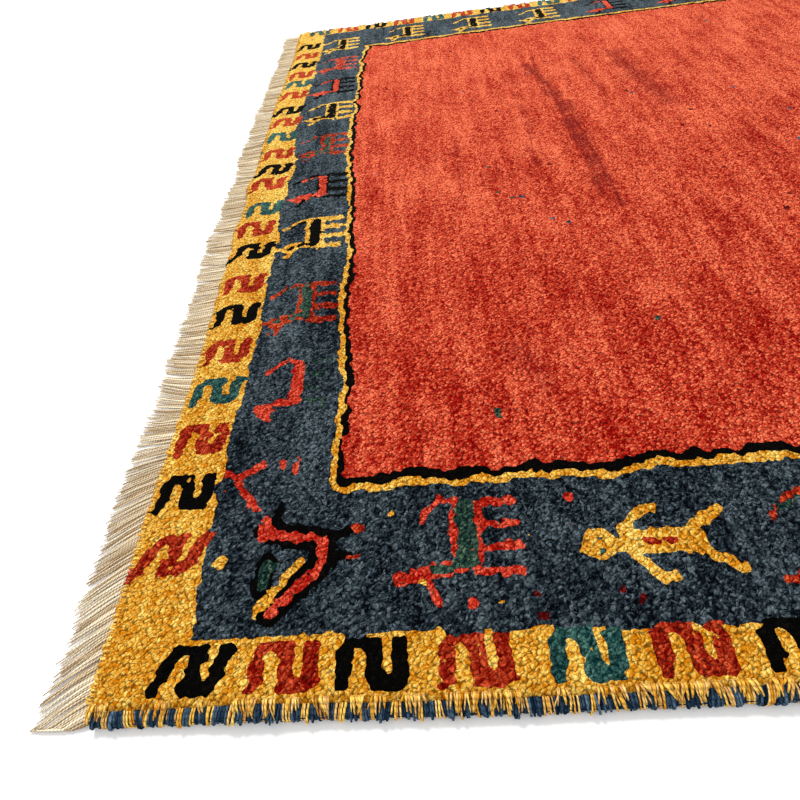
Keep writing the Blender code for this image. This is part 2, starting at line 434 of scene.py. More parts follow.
class Bench:
    """A node tree with short ways to add nodes and join them."""

    def __init__(self, tree: bpy.types.NodeTree) -> None:
        """Take the tree to work on."""
        self.tree = tree

    def feed(self, socket: bpy.types.NodeSocket, value: object) -> None:
        """Link a socket to another one, or set its value."""
        if isinstance(value, bpy.types.NodeSocket):
            self.tree.links.new(value, socket)
        else:
            socket.default_value = value

    def node(self, kind: str, inputs: dict | None = None, **settings: object) -> bpy.types.Node:
        """Add a node.

        Args:
            kind: Blender's name of the node type.
            inputs: values or sockets for its inputs, by name or number.
            **settings: the node's own settings.

        Returns:
            The new node.
        """
        made = self.tree.nodes.new(kind)
        for name, value in settings.items():
            setattr(made, name, value)
        for name, value in (inputs or {}).items():
            self.feed(made.inputs[name], value)
        return made

    def place(self, group: bpy.types.NodeTree, **inputs: object) -> bpy.types.Node:
        """Place a shader group with its inputs by name."""
        return self.node("ShaderNodeGroup", inputs, node_tree=group)

    def read(self, name: str, output: str = "Fac") -> bpy.types.NodeSocket:
        """Read an attribute of the mesh."""
        return self.node("ShaderNodeAttribute", attribute_name=name).outputs[output]

    def calc(
        self, operation: str, first: object, second: object = 0.0, clamp: bool = False
    ) -> bpy.types.NodeSocket:
        """Add a sum of one or two values and give its result."""
        made = self.node("ShaderNodeMath", {0: first, 1: second}, operation=operation, use_clamp=clamp)
        return made.outputs[0]

    def span(
        self, value: object, low: float, high: float, start: float = 0.0, end: float = 1.0
    ) -> bpy.types.NodeSocket:
        """Map a range of values to another one, held at its ends."""
        return self.node("ShaderNodeMapRange", {0: value, 1: low, 2: high, 3: start, 4: end}).outputs[0]

    def mix(self, share: object, first: object, second: object, blend: str = "MIX") -> bpy.types.NodeSocket:
        """Mix two colours and give the result."""
        made = self.node("ShaderNodeMix", {}, data_type="RGBA", blend_type=blend)
        for name, value in ((0, share), (6, first), (7, second)):
            self.feed(made.inputs[name], value)
        return made.outputs[2]

    def shaded(self, colour: object, light: object) -> bpy.types.NodeSocket:
        """Multiply a colour by a grey, which paints shade into it."""
        grey = self.node("ShaderNodeCombineColor", {0: light, 1: light, 2: light}).outputs[0]
        return self.mix(1.0, colour, grey, "MULTIPLY")

    def scaled(self, vector: object, factors: tuple[float, float, float]) -> bpy.types.NodeSocket:
        """Stretch a vector along its axes."""
        return self.node("ShaderNodeVectorMath", {0: vector, 1: factors}, operation="MULTIPLY").outputs[0]

    def noise(self, vector: object, detail: float = 2.0, roughness: float = 0.5) -> bpy.types.NodeSocket:
        """Add soft noise, one swing to a unit of the vector, and give its value."""
        inputs = {"Vector": vector, "Scale": 1.0, "Detail": detail, "Roughness": roughness}
        return self.node("ShaderNodeTexNoise", inputs).outputs[0]

    def ramp(self, value: object, stops: list[tuple[float, tuple]]) -> bpy.types.NodeSocket:
        """Add a stepped colour ramp and give its colour."""
        made = self.node("ShaderNodeValToRGB", {0: value})
        made.color_ramp.interpolation = "CONSTANT"
        points = made.color_ramp.elements
        while len(points) < len(stops):
            points.new(1.0)
        for point, (position, colour) in zip(points, stops):
            point.position = position
            point.color = colour
        return made.outputs[0]


class MaterialBench(Bench):
    """A bench on a new material's own nodes, with its shader."""

    def __init__(self, name: str, roughness: float, specular: float, sheen: float) -> None:
        """Start the material.

        Args:
            name: its name.
            roughness: how matt it is.
            specular: its specular level.
            sheen: weight of the light that its fibres catch at the edges.
        """
        self.material = bpy.data.materials.new(name)
        self.material.use_nodes = True
        super().__init__(self.material.node_tree)
        self.shader = self.material.node_tree.nodes["Principled BSDF"]
        self.shader.inputs["Roughness"].default_value = roughness
        self.shader.inputs["Specular IOR Level"].default_value = specular
        self.shader.inputs["Sheen Weight"].default_value = sheen
        self.shader.inputs["Sheen Roughness"].default_value = 0.45

    def finish(self, colour: bpy.types.NodeSocket, height: bpy.types.NodeSocket) -> bpy.types.Material:
        """Join a colour and a height in metres to the shader, and give the material."""
        bump = self.node("ShaderNodeBump", {"Height": height, "Distance": 1.0, "Strength": 1.0})
        self.feed(self.shader.inputs["Normal"], bump.outputs[0])
        self.feed(self.shader.inputs["Base Color"], colour)
        return self.material


class Effects:
    """Shader groups that several of the rug's materials share. Their lengths are in knots."""

    SWAY_SCALE = 0.9
    SWAY_REACH = (1.3, 1.3, 0.0)
    TIP_LEAN = -0.62
    TIP_PRESS = (0.85, 1.3, 1.0)
    TIP_SCATTER = 0.75
    TIP_ROUNDNESS = 0.55
    FLECKS_A_TIP = 2.1
    GAP_WIDTH = 0.16
    ROW_GRAIN = (0.20, 0.020, 1.0)
    ROW_SWING = 0.26
    PATCH_GRAIN = (0.050, 0.026, 1.0)
    PATCH_SWING = 0.24
    # Rows and shades of the lightening from the near side towards the far side.
    RISE_ROWS = (40.0, 340.0)
    RISE_SHADES = (-0.10, 0.24)
    FIBRE_GRAIN = (700.0, 5.0, 37.0)

    def __init__(self) -> None:
        """Build the groups once."""
        self.dye_bath = self._dye_bath()
        self.tuft_tips = self._tuft_tips()
        self.shade_drift = self._shade_drift()
        self.yarn_twist = self._yarn_twist()

    def _group(
        self, name: str, inputs: dict[str, str], outputs: dict[str, str]
    ) -> tuple[Bench, dict, dict]:
        """Start a group.

        Args:
            name: the group's name.
            inputs: kind of each input, by name.
            outputs: kind of each output, by name.

        Returns:
            A bench on the group, its inputs and its outputs by name.
        """
        tree = bpy.data.node_groups.new(name, "ShaderNodeTree")
        for way, sockets in (("INPUT", inputs), ("OUTPUT", outputs)):
            for label, kind in sockets.items():
                tree.interface.new_socket(name=label, in_out=way, socket_type=f"NodeSocket{kind}")
        bench = Bench(tree)
        entry, leave = bench.node("NodeGroupInput"), bench.node("NodeGroupOutput")
        given = {label: entry.outputs[label] for label in inputs}
        return bench, given, {label: leave.inputs[label] for label in outputs}

    def _dye_bath(self) -> bpy.types.NodeTree:
        """Colour of a wool from its dye and the depth of its shade."""
        bench, given, out = self._group("dye_bath", {"Dye": "Float", "Shade": "Float"}, {"Colour": "Color"})
        tones = [(dye.value / len(Dye), PALETTE[dye]) for dye in Dye]
        deep = bench.ramp(given["Dye"], [(start, shown(tone.deep)) for start, tone in tones])
        bright = bench.ramp(given["Dye"], [(start, shown(tone.bright)) for start, tone in tones])
        colour = bench.mix(given["Shade"], deep, bright)
        bench.feed(out["Colour"], bench.node("ShaderNodeGamma", {0: colour, 1: DISPLAY_GAMMA}).outputs[0])
        return bench.tree

    def _tuft_tips(self) -> bpy.types.NodeTree:
        """Cut tips of the knots: a dome, the closeness of a gap, and chances for tuft and fleck."""
        outputs = {"Dome": "Float", "Body": "Float", "Chance": "Float", "Fleck": "Float"}
        bench, given, out = self._group("tuft_tips", {"Knot": "Vector", "Tips": "Float"}, outputs)
        knot = given["Knot"]
        sway = bench.node("ShaderNodeTexNoise", {"Vector": knot, "Scale": self.SWAY_SCALE, "Detail": 2.0})
        middle = {0: sway.outputs[1], 1: (0.5, 0.5, 0.5)}
        spread = bench.node("ShaderNodeVectorMath", middle, operation="SUBTRACT").outputs[0]
        moved = bench.node("ShaderNodeVectorMath", {0: knot, 1: bench.scaled(spread, self.SWAY_REACH)})
        turn = {"Vector": moved.outputs[0], "Angle": self.TIP_LEAN}
        leaned = bench.node("ShaderNodeVectorRotate", turn, rotation_type="Z_AXIS")
        place = bench.scaled(leaned.outputs[0], self.TIP_PRESS)
        cells = bench.node("ShaderNodeTexVoronoi", {}, voronoi_dimensions="2D", feature="F1")
        edges = bench.node("ShaderNodeTexVoronoi", {}, voronoi_dimensions="2D", feature="DISTANCE_TO_EDGE")
        flecks = bench.node("ShaderNodeTexVoronoi", {}, voronoi_dimensions="2D", feature="F1")
        finer = bench.calc("MULTIPLY", given["Tips"], self.FLECKS_A_TIP)
        for made, scale in ((cells, given["Tips"]), (edges, given["Tips"]), (flecks, finer)):
            for name, value in {"Vector": place, "Scale": scale, "Randomness": self.TIP_SCATTER}.items():
                bench.feed(made.inputs[name], value)
        inside = bench.span(cells.outputs["Distance"], 0.05, 0.72, 1.0, 0.0)
        bench.feed(out["Dome"], bench.calc("POWER", inside, self.TIP_ROUNDNESS))
        bench.feed(out["Body"], bench.span(edges.outputs["Distance"], 0.0, self.GAP_WIDTH))
        for name, made in (("Chance", cells), ("Fleck", flecks)):
            parts = bench.node("ShaderNodeSeparateColor", {0: made.outputs["Color"]})
            bench.feed(out[name], parts.outputs[0])
        return bench.tree

    def _shade_drift(self) -> bpy.types.NodeTree:
        """Changes of shade along the knot rows, in broad patches, and from the near side to the far side.
        """
        outputs = {"Streak": "Float", "Mottle": "Float"}
        bench, given, out = self._group("shade_drift", {"Knot": "Vector"}, outputs)
        row_noise = bench.noise(bench.scaled(given["Knot"], self.ROW_GRAIN), 4.0, 0.62)
        patch_noise = bench.noise(bench.scaled(given["Knot"], self.PATCH_GRAIN), 4.0, 0.62)
        rows = bench.span(row_noise, 0.30, 0.70, -self.ROW_SWING, self.ROW_SWING)
        patches = bench.span(patch_noise, 0.30, 0.70, -self.PATCH_SWING, self.PATCH_SWING)
        parts = bench.node("ShaderNodeSeparateXYZ", {0: given["Knot"]})
        # The shade grows lighter from the near side towards the far side, over the rows given.
        fade = bench.span(parts.outputs[1], *self.RISE_ROWS, *self.RISE_SHADES)
        bench.feed(out["Streak"], rows)
        bench.feed(out["Mottle"], bench.calc("ADD", patches, fade))
        return bench.tree

    def _yarn_twist(self) -> bpy.types.NodeTree:
        """Ply ridges and fibres of a spun yarn, from its own length and turn."""
        inputs, outputs = {"Strand": "Vector", "Pitch": "Float"}, {"Ridge": "Float", "Fibre": "Float"}
        bench, given, out = self._group("yarn_twist", inputs, outputs)
        parts = bench.node("ShaderNodeSeparateXYZ", {0: given["Strand"]})
        turns = bench.calc("DIVIDE", parts.outputs[0], given["Pitch"])
        phase = bench.calc("MULTIPLY", bench.calc("ADD", turns, parts.outputs[1]), 2 * math.pi)
        bench.feed(out["Ridge"], bench.span(bench.calc("SINE", phase), -1.0, 1.0))
        bench.feed(out["Fibre"], bench.noise(bench.scaled(given["Strand"], self.FIBRE_GRAIN), 2.0, 0.6))
        return bench.tree


@dataclass(frozen=True)
class PileWool:
    """Cut wool pile, dyed knot by knot.

    Attributes:
        effects: the shared groups.
        tips: tufts to a knot along each axis.
        tuft_height: height of a tuft's dome.
        fibre_height: height of its fibres.
        gap_light: light left in the gaps between tufts.
        edge_light: light left at a tuft's edge.
        smoke_colour: display colour of the dark mixed wool.
        smoke_cover: how far that colour covers the dye.
        smoke_depth: how far it deepens the dye.
        heather: share of the shade that changes from tuft to tuft.
        streak: share that changes from one knot row to the next.
        mottle: share that changes in broad patches and from the near side to the far side.
        fibre_grain: fibres to a knot along each axis.
        fibre_swing: share of the shade that changes from fibre to fibre.
    """

    effects: Effects
    tips: float = 1.12
    tuft_height: float = 0.0013
    fibre_height: float = 0.0005
    gap_light: float = 0.34
    edge_light: float = 0.68
    smoke_colour: tuple[int, int, int] = (104, 48, 44)
    smoke_cover: float = 0.52
    smoke_depth: float = 0.44
    heather: float = 1.25
    streak: float = 0.80
    mottle: float = 0.80
    fibre_grain: tuple[float, float, float] = (7.0, 5.0, 1.0)
    fibre_swing: float = 0.14

    def material(self) -> bpy.types.Material:
        """Build the material."""
        bench = MaterialBench("wool_pile", roughness=0.88, specular=0.03, sheen=0.0)
        knot = bench.read("knot", "Vector")
        tips = bench.place(self.effects.tuft_tips, Knot=knot, Tips=self.tips)
        bath = bench.place(self.effects.dye_bath, Dye=bench.read("dye"))
        fibre = bench.noise(bench.scaled(knot, self.fibre_grain), 2.0, 0.7)
        luck = bench.span(bench.calc("ADD", tips.outputs["Chance"], tips.outputs["Fleck"]), 0.0, 2.0)
        shade = self.shade(bench, knot, luck)
        smoke = bench.read("smoke")
        shade = bench.calc("SUBTRACT", shade, bench.calc("MULTIPLY", smoke, self.smoke_depth))
        fine = bench.span(fibre, 0.2, 0.8, -self.fibre_swing, self.fibre_swing)
        bench.feed(bath.inputs["Shade"], bench.calc("ADD", shade, fine, clamp=True))
        # Painted shade: the colour is darkened low on each tuft's dome and near its edge, where the gaps
        # between tufts lie in shade.
        deep = bench.span(tips.outputs["Dome"], 0.20, 0.75, self.gap_light, 1.0)
        edge = bench.span(tips.outputs["Body"], 0.0, 1.0, self.edge_light, 1.0)
        light = bench.calc("MULTIPLY", deep, edge)
        tuft = bench.calc("MULTIPLY", tips.outputs["Dome"], self.tuft_height)
        height = bench.calc("ADD", tuft, bench.calc("MULTIPLY", fibre, self.fibre_height))
        haze = bench.node("ShaderNodeGamma", {0: shown(self.smoke_colour), 1: DISPLAY_GAMMA}).outputs[0]
        colour = bench.mix(bench.calc("MULTIPLY", smoke, self.smoke_cover), bath.outputs["Colour"], haze)
        return bench.finish(bench.shaded(colour, light), height)

    def shade(self, bench: Bench, knot: object, chance: object) -> bpy.types.NodeSocket:
        """Depth of the dye on a tuft.

        Args:
            bench: bench on the material.
            knot: place on the knot grid.
            chance: the tuft's own chance value.

        Returns:
            The shade, about 0 to 1.
        """
        drift = bench.place(self.effects.shade_drift, Knot=knot)
        swings = (bench.calc("SUBTRACT", chance, 0.5), drift.outputs["Streak"], drift.outputs["Mottle"])
        shade: object = 0.5
        for weight, swing in zip((self.heather, self.streak, self.mottle), swings):
            shade = bench.calc("ADD", bench.calc("MULTIPLY", weight, swing), shade)
        return shade


@dataclass(frozen=True)
class KnotBacks:
    """The backs of the knots on the underside: flat ribs, dyed like the pile.

    Attributes:
        effects: the shared groups.
        rib_height: height of a knot's back.
    """

    effects: Effects
    rib_height: float = 0.0007

    def material(self) -> bpy.types.Material:
        """Build the material."""
        bench = MaterialBench("knot_backs", roughness=0.92, specular=0.08, sheen=0.02)
        knot = bench.read("knot", "Vector")
        bath = bench.place(self.effects.dye_bath, Dye=bench.read("dye"))
        tips = bench.place(self.effects.tuft_tips, Knot=knot, Tips=1.0)
        bench.feed(bath.inputs["Shade"], bench.span(tips.outputs["Chance"], 0.0, 1.0, 0.15, 0.75))
        turns = bench.scaled(knot, (2 * math.pi, 4 * math.pi, 1.0))
        parts = bench.node("ShaderNodeSeparateXYZ", {0: turns})
        ribs = [bench.span(bench.calc("COSINE", parts.outputs[axis]), -1.0, 0.6) for axis in (0, 1)]
        rib = bench.calc("MULTIPLY", ribs[0], ribs[1])
        # Painted shade: the colour is darkened in the grooves between the knots' ribs.
        light = bench.span(rib, 0.0, 0.7, 0.4, 0.95)
        height = bench.calc("MULTIPLY", rib, self.rib_height)
        return bench.finish(bench.shaded(bath.outputs["Colour"], light), height)


@dataclass(frozen=True)
class SpunYarn:
    """Loose yarn with a twist: cord wraps, leaning pile tips and warp ends.

    Attributes:
        effects: the shared groups.
        name: the material's name.
        pitch: length of one turn of the twist.
        ridge_height: height of a ply over the groove beside it.
        groove_light: light left in the groove.
        fibre_swing: share of the shade that changes from fibre to fibre.
    """

    effects: Effects
    name: str
    pitch: float = 0.0045
    ridge_height: float = 0.00025
    groove_light: float = 0.55
    fibre_swing: float = 0.28

    def material(self) -> bpy.types.Material:
        """Build the material."""
        bench = MaterialBench(self.name, roughness=0.85, specular=0.04, sheen=0.0)
        strand = bench.read("strand", "Vector")
        twist = bench.place(self.effects.yarn_twist, Strand=strand, Pitch=self.pitch)
        fibre = bench.span(twist.outputs["Fibre"], 0.25, 0.75, -self.fibre_swing, self.fibre_swing)
        shade = bench.calc("ADD", bench.read("tone"), fibre, clamp=True)
        bath = bench.place(self.effects.dye_bath, Dye=bench.read("dye"), Shade=shade)
        # Painted shade: the colour is darkened in the grooves between the twisted plies.
        light = bench.span(twist.outputs["Ridge"], 0.0, 0.6, self.groove_light, 1.0)
        height = bench.calc("MULTIPLY", twist.outputs["Ridge"], self.ridge_height)
        return bench.finish(bench.shaded(bath.outputs["Colour"], light), height)


@dataclass(frozen=True)
class FloorPaint:
    """Pale matt floor.

    Attributes:
        tone: its grey, from 0 to 1.
        cloud: how far the grey drifts up and down.
    """

    tone: float = 0.86
    cloud: float = 0.01

    def material(self) -> bpy.types.Material:
        """Build the material."""
        bench = MaterialBench("floor_paint", roughness=0.8, specular=0.1, sheen=0.0)
        place = bench.node("ShaderNodeTexCoord").outputs["Object"]
        drift = bench.noise(bench.scaled(place, (3.0, 3.0, 3.0)), 3.0)
        grey = bench.span(drift, 0.3, 0.7, self.tone - self.cloud, self.tone + self.cloud)
        white = bench.node("ShaderNodeCombineColor", {0: grey, 1: grey, 2: grey}).outputs[0]
        return bench.finish(white, bench.calc("MULTIPLY", grey, 0.0))


SIDE_HOOK = (
    "..#########..####",
    ".##########..####",
    "####..#####..####",
    "####...####..####",
    "####...####..####",
    "####...####..####",
    "####...####..####",
    "####...#####.####",
    "###....##########",
    "###....##########",
    "###.....########.",
)
END_HOOK = (
    "..########...####",
    ".#########...####",
    "##########..#####",
    "####..#####..####",
    "####...####..####",
    "####...####..####",
    "####...####..####",
    "####...####..####",
    "####...##########",
    "###....##########",
    "###....#########.",
    "###.....#######..",
    "##...............",
)
LEFT_OUTER: Course = (
    (15.9, 20.6), (73.1, 18.9), (111.6, 20.4), (150.2, 20.0), (188.8, 20.4), (208.1, 17.7), (233.1, 20.9),
    (246.6, 20.7), (265.9, 18.9), (285.2, 17.0), (304.5, 16.5), (338.8, 17.7), (367.3, 18.9), (418.8, 20.8),
)
LEFT_INNER: Course = (
    (38.8, 53.0), (90.2, 53.8), (107.3, 52.5), (130.2, 51.0), (141.6, 51.4), (167.3, 53.0), (184.5, 51.5),
    (201.6, 52.6), (218.8, 51.0), (241.6, 49.2), (258.8, 48.4), (273.1, 49.9), (281.6, 48.6), (301.6, 49.1),
    (314.5, 51.5), (327.3, 49.8), (347.3, 52.0), (367.3, 50.4), (381.6, 52.3), (393.1, 51.1), (418.8, 54.5),
)
NEAR_OUTER: Course = (
    (20, 13.4), (50, 13.2), (70, 12.8), (90, 11.7), (110, 12.1), (130, 11.4), (220, 12.8), (330, 12.0),
    (450, 13.1), (560, 12.2), (680, 13.0),
)
NEAR_INNER: Course = (
    (55, 50.4), (71, 50.4), (91, 50.9), (103, 50.1), (121, 50.9), (136, 49.7), (146, 51.1), (250, 50.0),
    (380, 51.2), (520, 50.2), (640, 51.0),
)
NEAR_HOOKS = (
    (22.7, Dye.BLACK, 0.35), (45.3, Dye.MADDER, 0.04), (66.7, Dye.BLACK, 0.0), (90.2, Dye.MADDER, 0.0),
    (115.3, Dye.TEAL, 0.0), (138.0, Dye.MADDER, 0.0),
)
NEAR_HOOK_STEP = 23.1
NEAR_HOOK_CYCLE = (Dye.BLACK, Dye.MADDER, Dye.TEAL, Dye.MADDER)
LEFT_HOOKS = (
    (34.2, Dye.MADDER, 0.50), (53.8, Dye.BLACK, 0.00), (72.5, Dye.MADDER, 0.06),
    (92.9, Dye.TEAL, 0.10), (111.0, Dye.MADDER, 0.10), (131.3, Dye.BLACK, 0.12),
    (150.2, Dye.MADDER, 0.10), (173.0, Dye.BLACK, 0.22), (191.6, Dye.MADDER, 0.06),
    (208.0, Dye.TEAL, 0.12), (232.5, Dye.MADDER, 0.12), (247.6, Dye.BLACK, 0.20),
    (265.9, Dye.MADDER, 0.12), (286.2, Dye.TEAL, 0.06), (306.5, Dye.MADDER, 0.18),
    (323.6, Dye.BLACK, 0.22), (347.9, Dye.MADDER, 0.14), (366.9, Dye.TEAL, 0.10),
    (382.7, Dye.MADDER, 0.10), (401.0, Dye.BLACK, 0.16), (420.0, Dye.MADDER, 0.12),
    (440.5, Dye.BLACK, 0.16),
)


@dataclass(frozen=True)
class Stroke:
    """One line of an animal: its wool, its width in knots and its points."""

    dye: Dye
    width: float
    points: Course

    def moved(self, way: Point) -> "Stroke":
        """Give the same line, moved along X and Y."""
        return replace(self, points=tuple((way[0] + x, way[1] + y) for x, y in self.points))


@dataclass(frozen=True)
class Smoke:
    """A soft dark band in the field, from mixed wool: its width in knots, its depth and its points."""

    width: float
    depth: float
    points: Course


@dataclass(frozen=True)
class Goat:
    """A goat charted on its side, legs towards +X, with the wools of its parts.

    Attributes:
        at: middle of its body, in knots.
        body: wool of the body's middle.
        rim: wool of the body's outline, legs and neck.
        head: wool of the head.
        legs: wool of the legs, or None for the rim's.
        fade: share of its knots that are left in the ground's wool.
        slim: width of the body as a share of the usual one.
        neck: width of the neck.
    """

    at: Point
    body: Dye
    rim: Dye
    head: Dye
    legs: Dye | None = None
    fade: float = 0.0
    slim: float = 1.0
    neck: float = 4.5

    def strokes(self) -> list[Stroke]:
        """Give the goat's lines, back to front."""
        legs = self.rim if self.legs is None else self.legs
        drawn = [Stroke(legs, 3.3, ((2.5, y), (11.4, 0.97 * y - 0.4))) for y in (10.6, 3.8, -3.7, -11.0)]
        drawn += [
            Stroke(self.rim, 2.0, ((-2.5, 10.8), (-7.0, 10.0), (-11.0, 6.4), (-14.5, 4.0))),
            Stroke(self.body, 1.2, ((-2.5, 9.6), (-7.0, 8.7), (-10.5, 5.8))),
            Stroke(self.rim, 8.4 * self.slim, ((0.0, -7.8), (0.0, 8.0))),
            Stroke(self.rim, self.neck, ((-2.0, -9.0), (-8.0, -9.3))),
            Stroke(self.head, 6.2, ((-9.0, -10.0), (-11.5, -11.2))),
            Stroke(self.head, 1.8, ((-12.0, -11.0), (-17.0, -11.0))),
            Stroke(self.rim, 2.2, ((-9.0, -12.5), (-11.0, -17.0), (-13.0, -17.4))),
            Stroke(self.body, 5.0 * self.slim, ((0.0, -8.2), (0.0, 8.6))),
            Stroke(self.body, 2.2, ((-2.0, -8.6), (-6.5, -8.8))),
            Stroke(self.body, 2.4, ((-9.6, -10.2), (-11.2, -11.2))),
        ]
        return [one.moved(self.at) for one in drawn]


FRINGE_LEAN: Course = (
    (0.00, -0.50), (0.12, -0.50), (0.24, -0.42), (0.30, 0.00), (0.35, 0.32), (0.42, 0.10), (0.50, -0.12),
    (0.62, 0.10), (0.74, -0.10), (0.90, 0.12), (1.05, -0.15), (1.20, 0.05), (1.40, -0.12), (1.70, 0.20),
)
BENT_BEAST = (
    Stroke(Dye.BLACK, 7.0, ((36.0, 40.0), (53.0, 36.5), (52.3, 29.5), (40.0, 18.5))),
    Stroke(Dye.BLACK, 5.5, ((38.0, 31.0), (37.0, 25.0))),
    Stroke(Dye.GREEN, 3.4, ((38.2, 30.5), (37.4, 25.5))),
    Stroke(Dye.BLACK, 2.6, ((38.5, 41.0), (39.5, 46.5))),
    Stroke(Dye.BLACK, 2.6, ((53.3, 37.5), (62.9, 39.0))),
    Stroke(Dye.BLACK, 2.6, ((53.3, 32.0), (61.9, 31.5))),
    Stroke(Dye.MADDER, 1.6, ((61.0, 39.8), (63.4, 38.4))),
    Stroke(Dye.MADDER, 1.6, ((59.5, 32.2), (62.0, 31.4))),
    Stroke(Dye.CORAL, 2.8, ((35.0, 39.6), (53.0, 36.5), (52.0, 29.0), (40.0, 18.0))),
    Stroke(Dye.CORAL, 3.6, ((35.6, 42.6), (36.0, 38.6))),
    Stroke(Dye.SAFFRON, 2.2, ((46.8, 31.0), (37.2, 19.4))),
)
GREEN_BEAST = (
    Stroke(Dye.CORAL, 2.4, ((93.5, 44.3), (104.5, 44.6))),
    Stroke(Dye.CORAL, 2.4, ((93.5, 38.3), (104.5, 38.1))),
    Stroke(Dye.CORAL, 2.4, ((93.5, 32.0), (104.5, 32.3))),
    Stroke(Dye.CORAL, 2.4, ((93.5, 26.0), (104.5, 25.6))),
    Stroke(Dye.CORAL, 8.6, ((91.4, 31.0), (91.4, 41.5))),
    Stroke(Dye.CORAL, 1.8, ((89.0, 45.4), (84.5, 45.6), (80.2, 42.0), (79.3, 39.5))),
    Stroke(Dye.CORAL, 4.0, ((89.0, 27.5), (78.0, 26.0), (73.5, 25.2))),
    Stroke(Dye.CORAL, 1.8, ((80.5, 24.5), (83.0, 18.8))),
    Stroke(Dye.GREEN, 5.6, ((91.4, 29.5), (91.4, 43.0))),
    Stroke(Dye.GREEN, 1.8, ((88.5, 27.7), (81.5, 26.6))),
    Stroke(Dye.SAFFRON, 1.8, ((79.4, 24.0), (79.6, 24.0))),
)
GOLD_FIGURE = (
    Stroke(Dye.SAFFRON, 8.0, ((124.0, 31.0), (124.6, 31.0))),
    Stroke(Dye.SAFFRON, 3.4, ((127.0, 31.0), (132.0, 31.2))),
    Stroke(Dye.SAFFRON, 6.4, ((133.0, 31.2), (148.0, 31.0))),
    Stroke(Dye.SAFFRON, 2.6, ((131.0, 34.0), (137.8, 40.0), (141.0, 39.6))),
    Stroke(Dye.SAFFRON, 2.6, ((131.7, 28.8), (137.3, 21.9), (140.6, 22.2))),
    Stroke(Dye.SAFFRON, 2.8, ((147.0, 33.0), (156.5, 38.5))),
    Stroke(Dye.SAFFRON, 2.8, ((147.0, 29.0), (156.5, 23.5))),
    Stroke(Dye.TEAL, 1.5, ((124.7, 32.8), (124.8, 32.8))),
    Stroke(Dye.TEAL, 1.5, ((124.7, 29.3), (124.8, 29.3))),
    Stroke(Dye.MADDER, 1.5, ((136.0, 31.2), (144.0, 31.0))),
)
RED_TWIG = (
    Stroke(Dye.CORAL, 2.2, ((20.5, 59.7), (24.6, 57.2), (32.1, 61.7))),
    Stroke(Dye.CORAL, 2.2, ((24.6, 56.2), (32.1, 47.1))),
    Stroke(Dye.CORAL, 1.8, ((37.9, 61.8), (37.9, 60.0))),
    Stroke(Dye.CORAL, 1.8, ((42.7, 62.5), (42.4, 58.2))),
    Stroke(Dye.CORAL, 1.9, ((22.0, 53.6), (22.1, 53.2))),
)
SPECKS = (
    Stroke(Dye.SAFFRON, 3.4, ((24.6, 31.5), (24.8, 32.4))),
    Stroke(Dye.SAFFRON, 1.5, ((71.0, 42.8), (71.2, 42.9))),
    Stroke(Dye.SAFFRON, 1.5, ((107.7, 34.2), (107.8, 34.4))),
    Stroke(Dye.SAFFRON, 1.4, ((97.9, 18.9), (98.0, 18.9))),
    Stroke(Dye.CORAL, 2.2, ((119.6, 44.3), (120.3, 45.0))),
    Stroke(Dye.CORAL, 2.0, ((91.0, 18.4), (91.4, 18.8))),
    Stroke(Dye.WINE, 1.6, ((118.6, 36.3), (118.7, 36.3))),
    Stroke(Dye.WINE, 1.6, ((107.0, 19.9), (107.1, 20.0))),
    Stroke(Dye.WINE, 2.2, ((107.2, 14.8), (107.8, 14.6))),
    Stroke(Dye.WINE, 1.5, ((127.0, 20.0), (127.1, 20.0))),
    Stroke(Dye.WINE, 1.5, ((130.5, 17.0), (130.6, 17.2))),
)
LEFT_GOATS = (
    Goat((37.6, 136.0), Dye.GREEN, Dye.MADDER, Dye.MADDER, None, 0.16, 0.9),
    Goat((37.4, 184.0), Dye.BLACK, Dye.SAFFRON, Dye.SAFFRON, None, 0.02),
    Goat((38.0, 225.0), Dye.CORAL, Dye.BLACK, Dye.CORAL, Dye.BLACK, 0.04, 0.7),
    Goat((37.0, 271.0), Dye.GREEN, Dye.MADDER, Dye.MADDER, None, 0.30, 0.9),
    Goat((37.0, 316.0), Dye.BLACK, Dye.SAFFRON, Dye.SAFFRON, None, 0.03),
    Goat((37.0, 355.0), Dye.CORAL, Dye.BLACK, Dye.CORAL, Dye.BLACK, 0.05, 0.7),
    Goat((37.0, 396.0), Dye.MADDER, Dye.CORAL, Dye.CORAL, None, 0.35, 0.9),
    Goat((37.0, 437.0), Dye.BLACK, Dye.SAFFRON, Dye.SAFFRON, None, 0.03),
)
RED_GOAT = (
    Stroke(Dye.GREEN, 2.4, ((41.0, 103.2), (49.0, 103.0))),
    Stroke(Dye.GREEN, 2.4, ((41.0, 97.4), (49.0, 96.6))),
    Stroke(Dye.GREEN, 2.2, ((41.0, 91.4), (48.0, 90.4))),
    Stroke(Dye.GREEN, 2.2, ((41.0, 86.2), (48.0, 84.8))),
    Stroke(Dye.CORAL, 4.2, ((38.7, 101.6), (38.7, 86.0))),
    Stroke(Dye.CORAL, 1.8, ((37.0, 103.8), (35.0, 104.0), (32.1, 102.9), (29.1, 100.6), (26.8, 98.9))),
    Stroke(Dye.CORAL, 2.6, ((38.0, 84.8), (33.5, 85.4), (30.9, 84.6))),
    Stroke(Dye.CORAL, 4.8, ((27.2, 82.4), (29.4, 81.8))),
    Stroke(Dye.CORAL, 1.6, ((29.0, 79.6), (31.0, 78.8))),
)
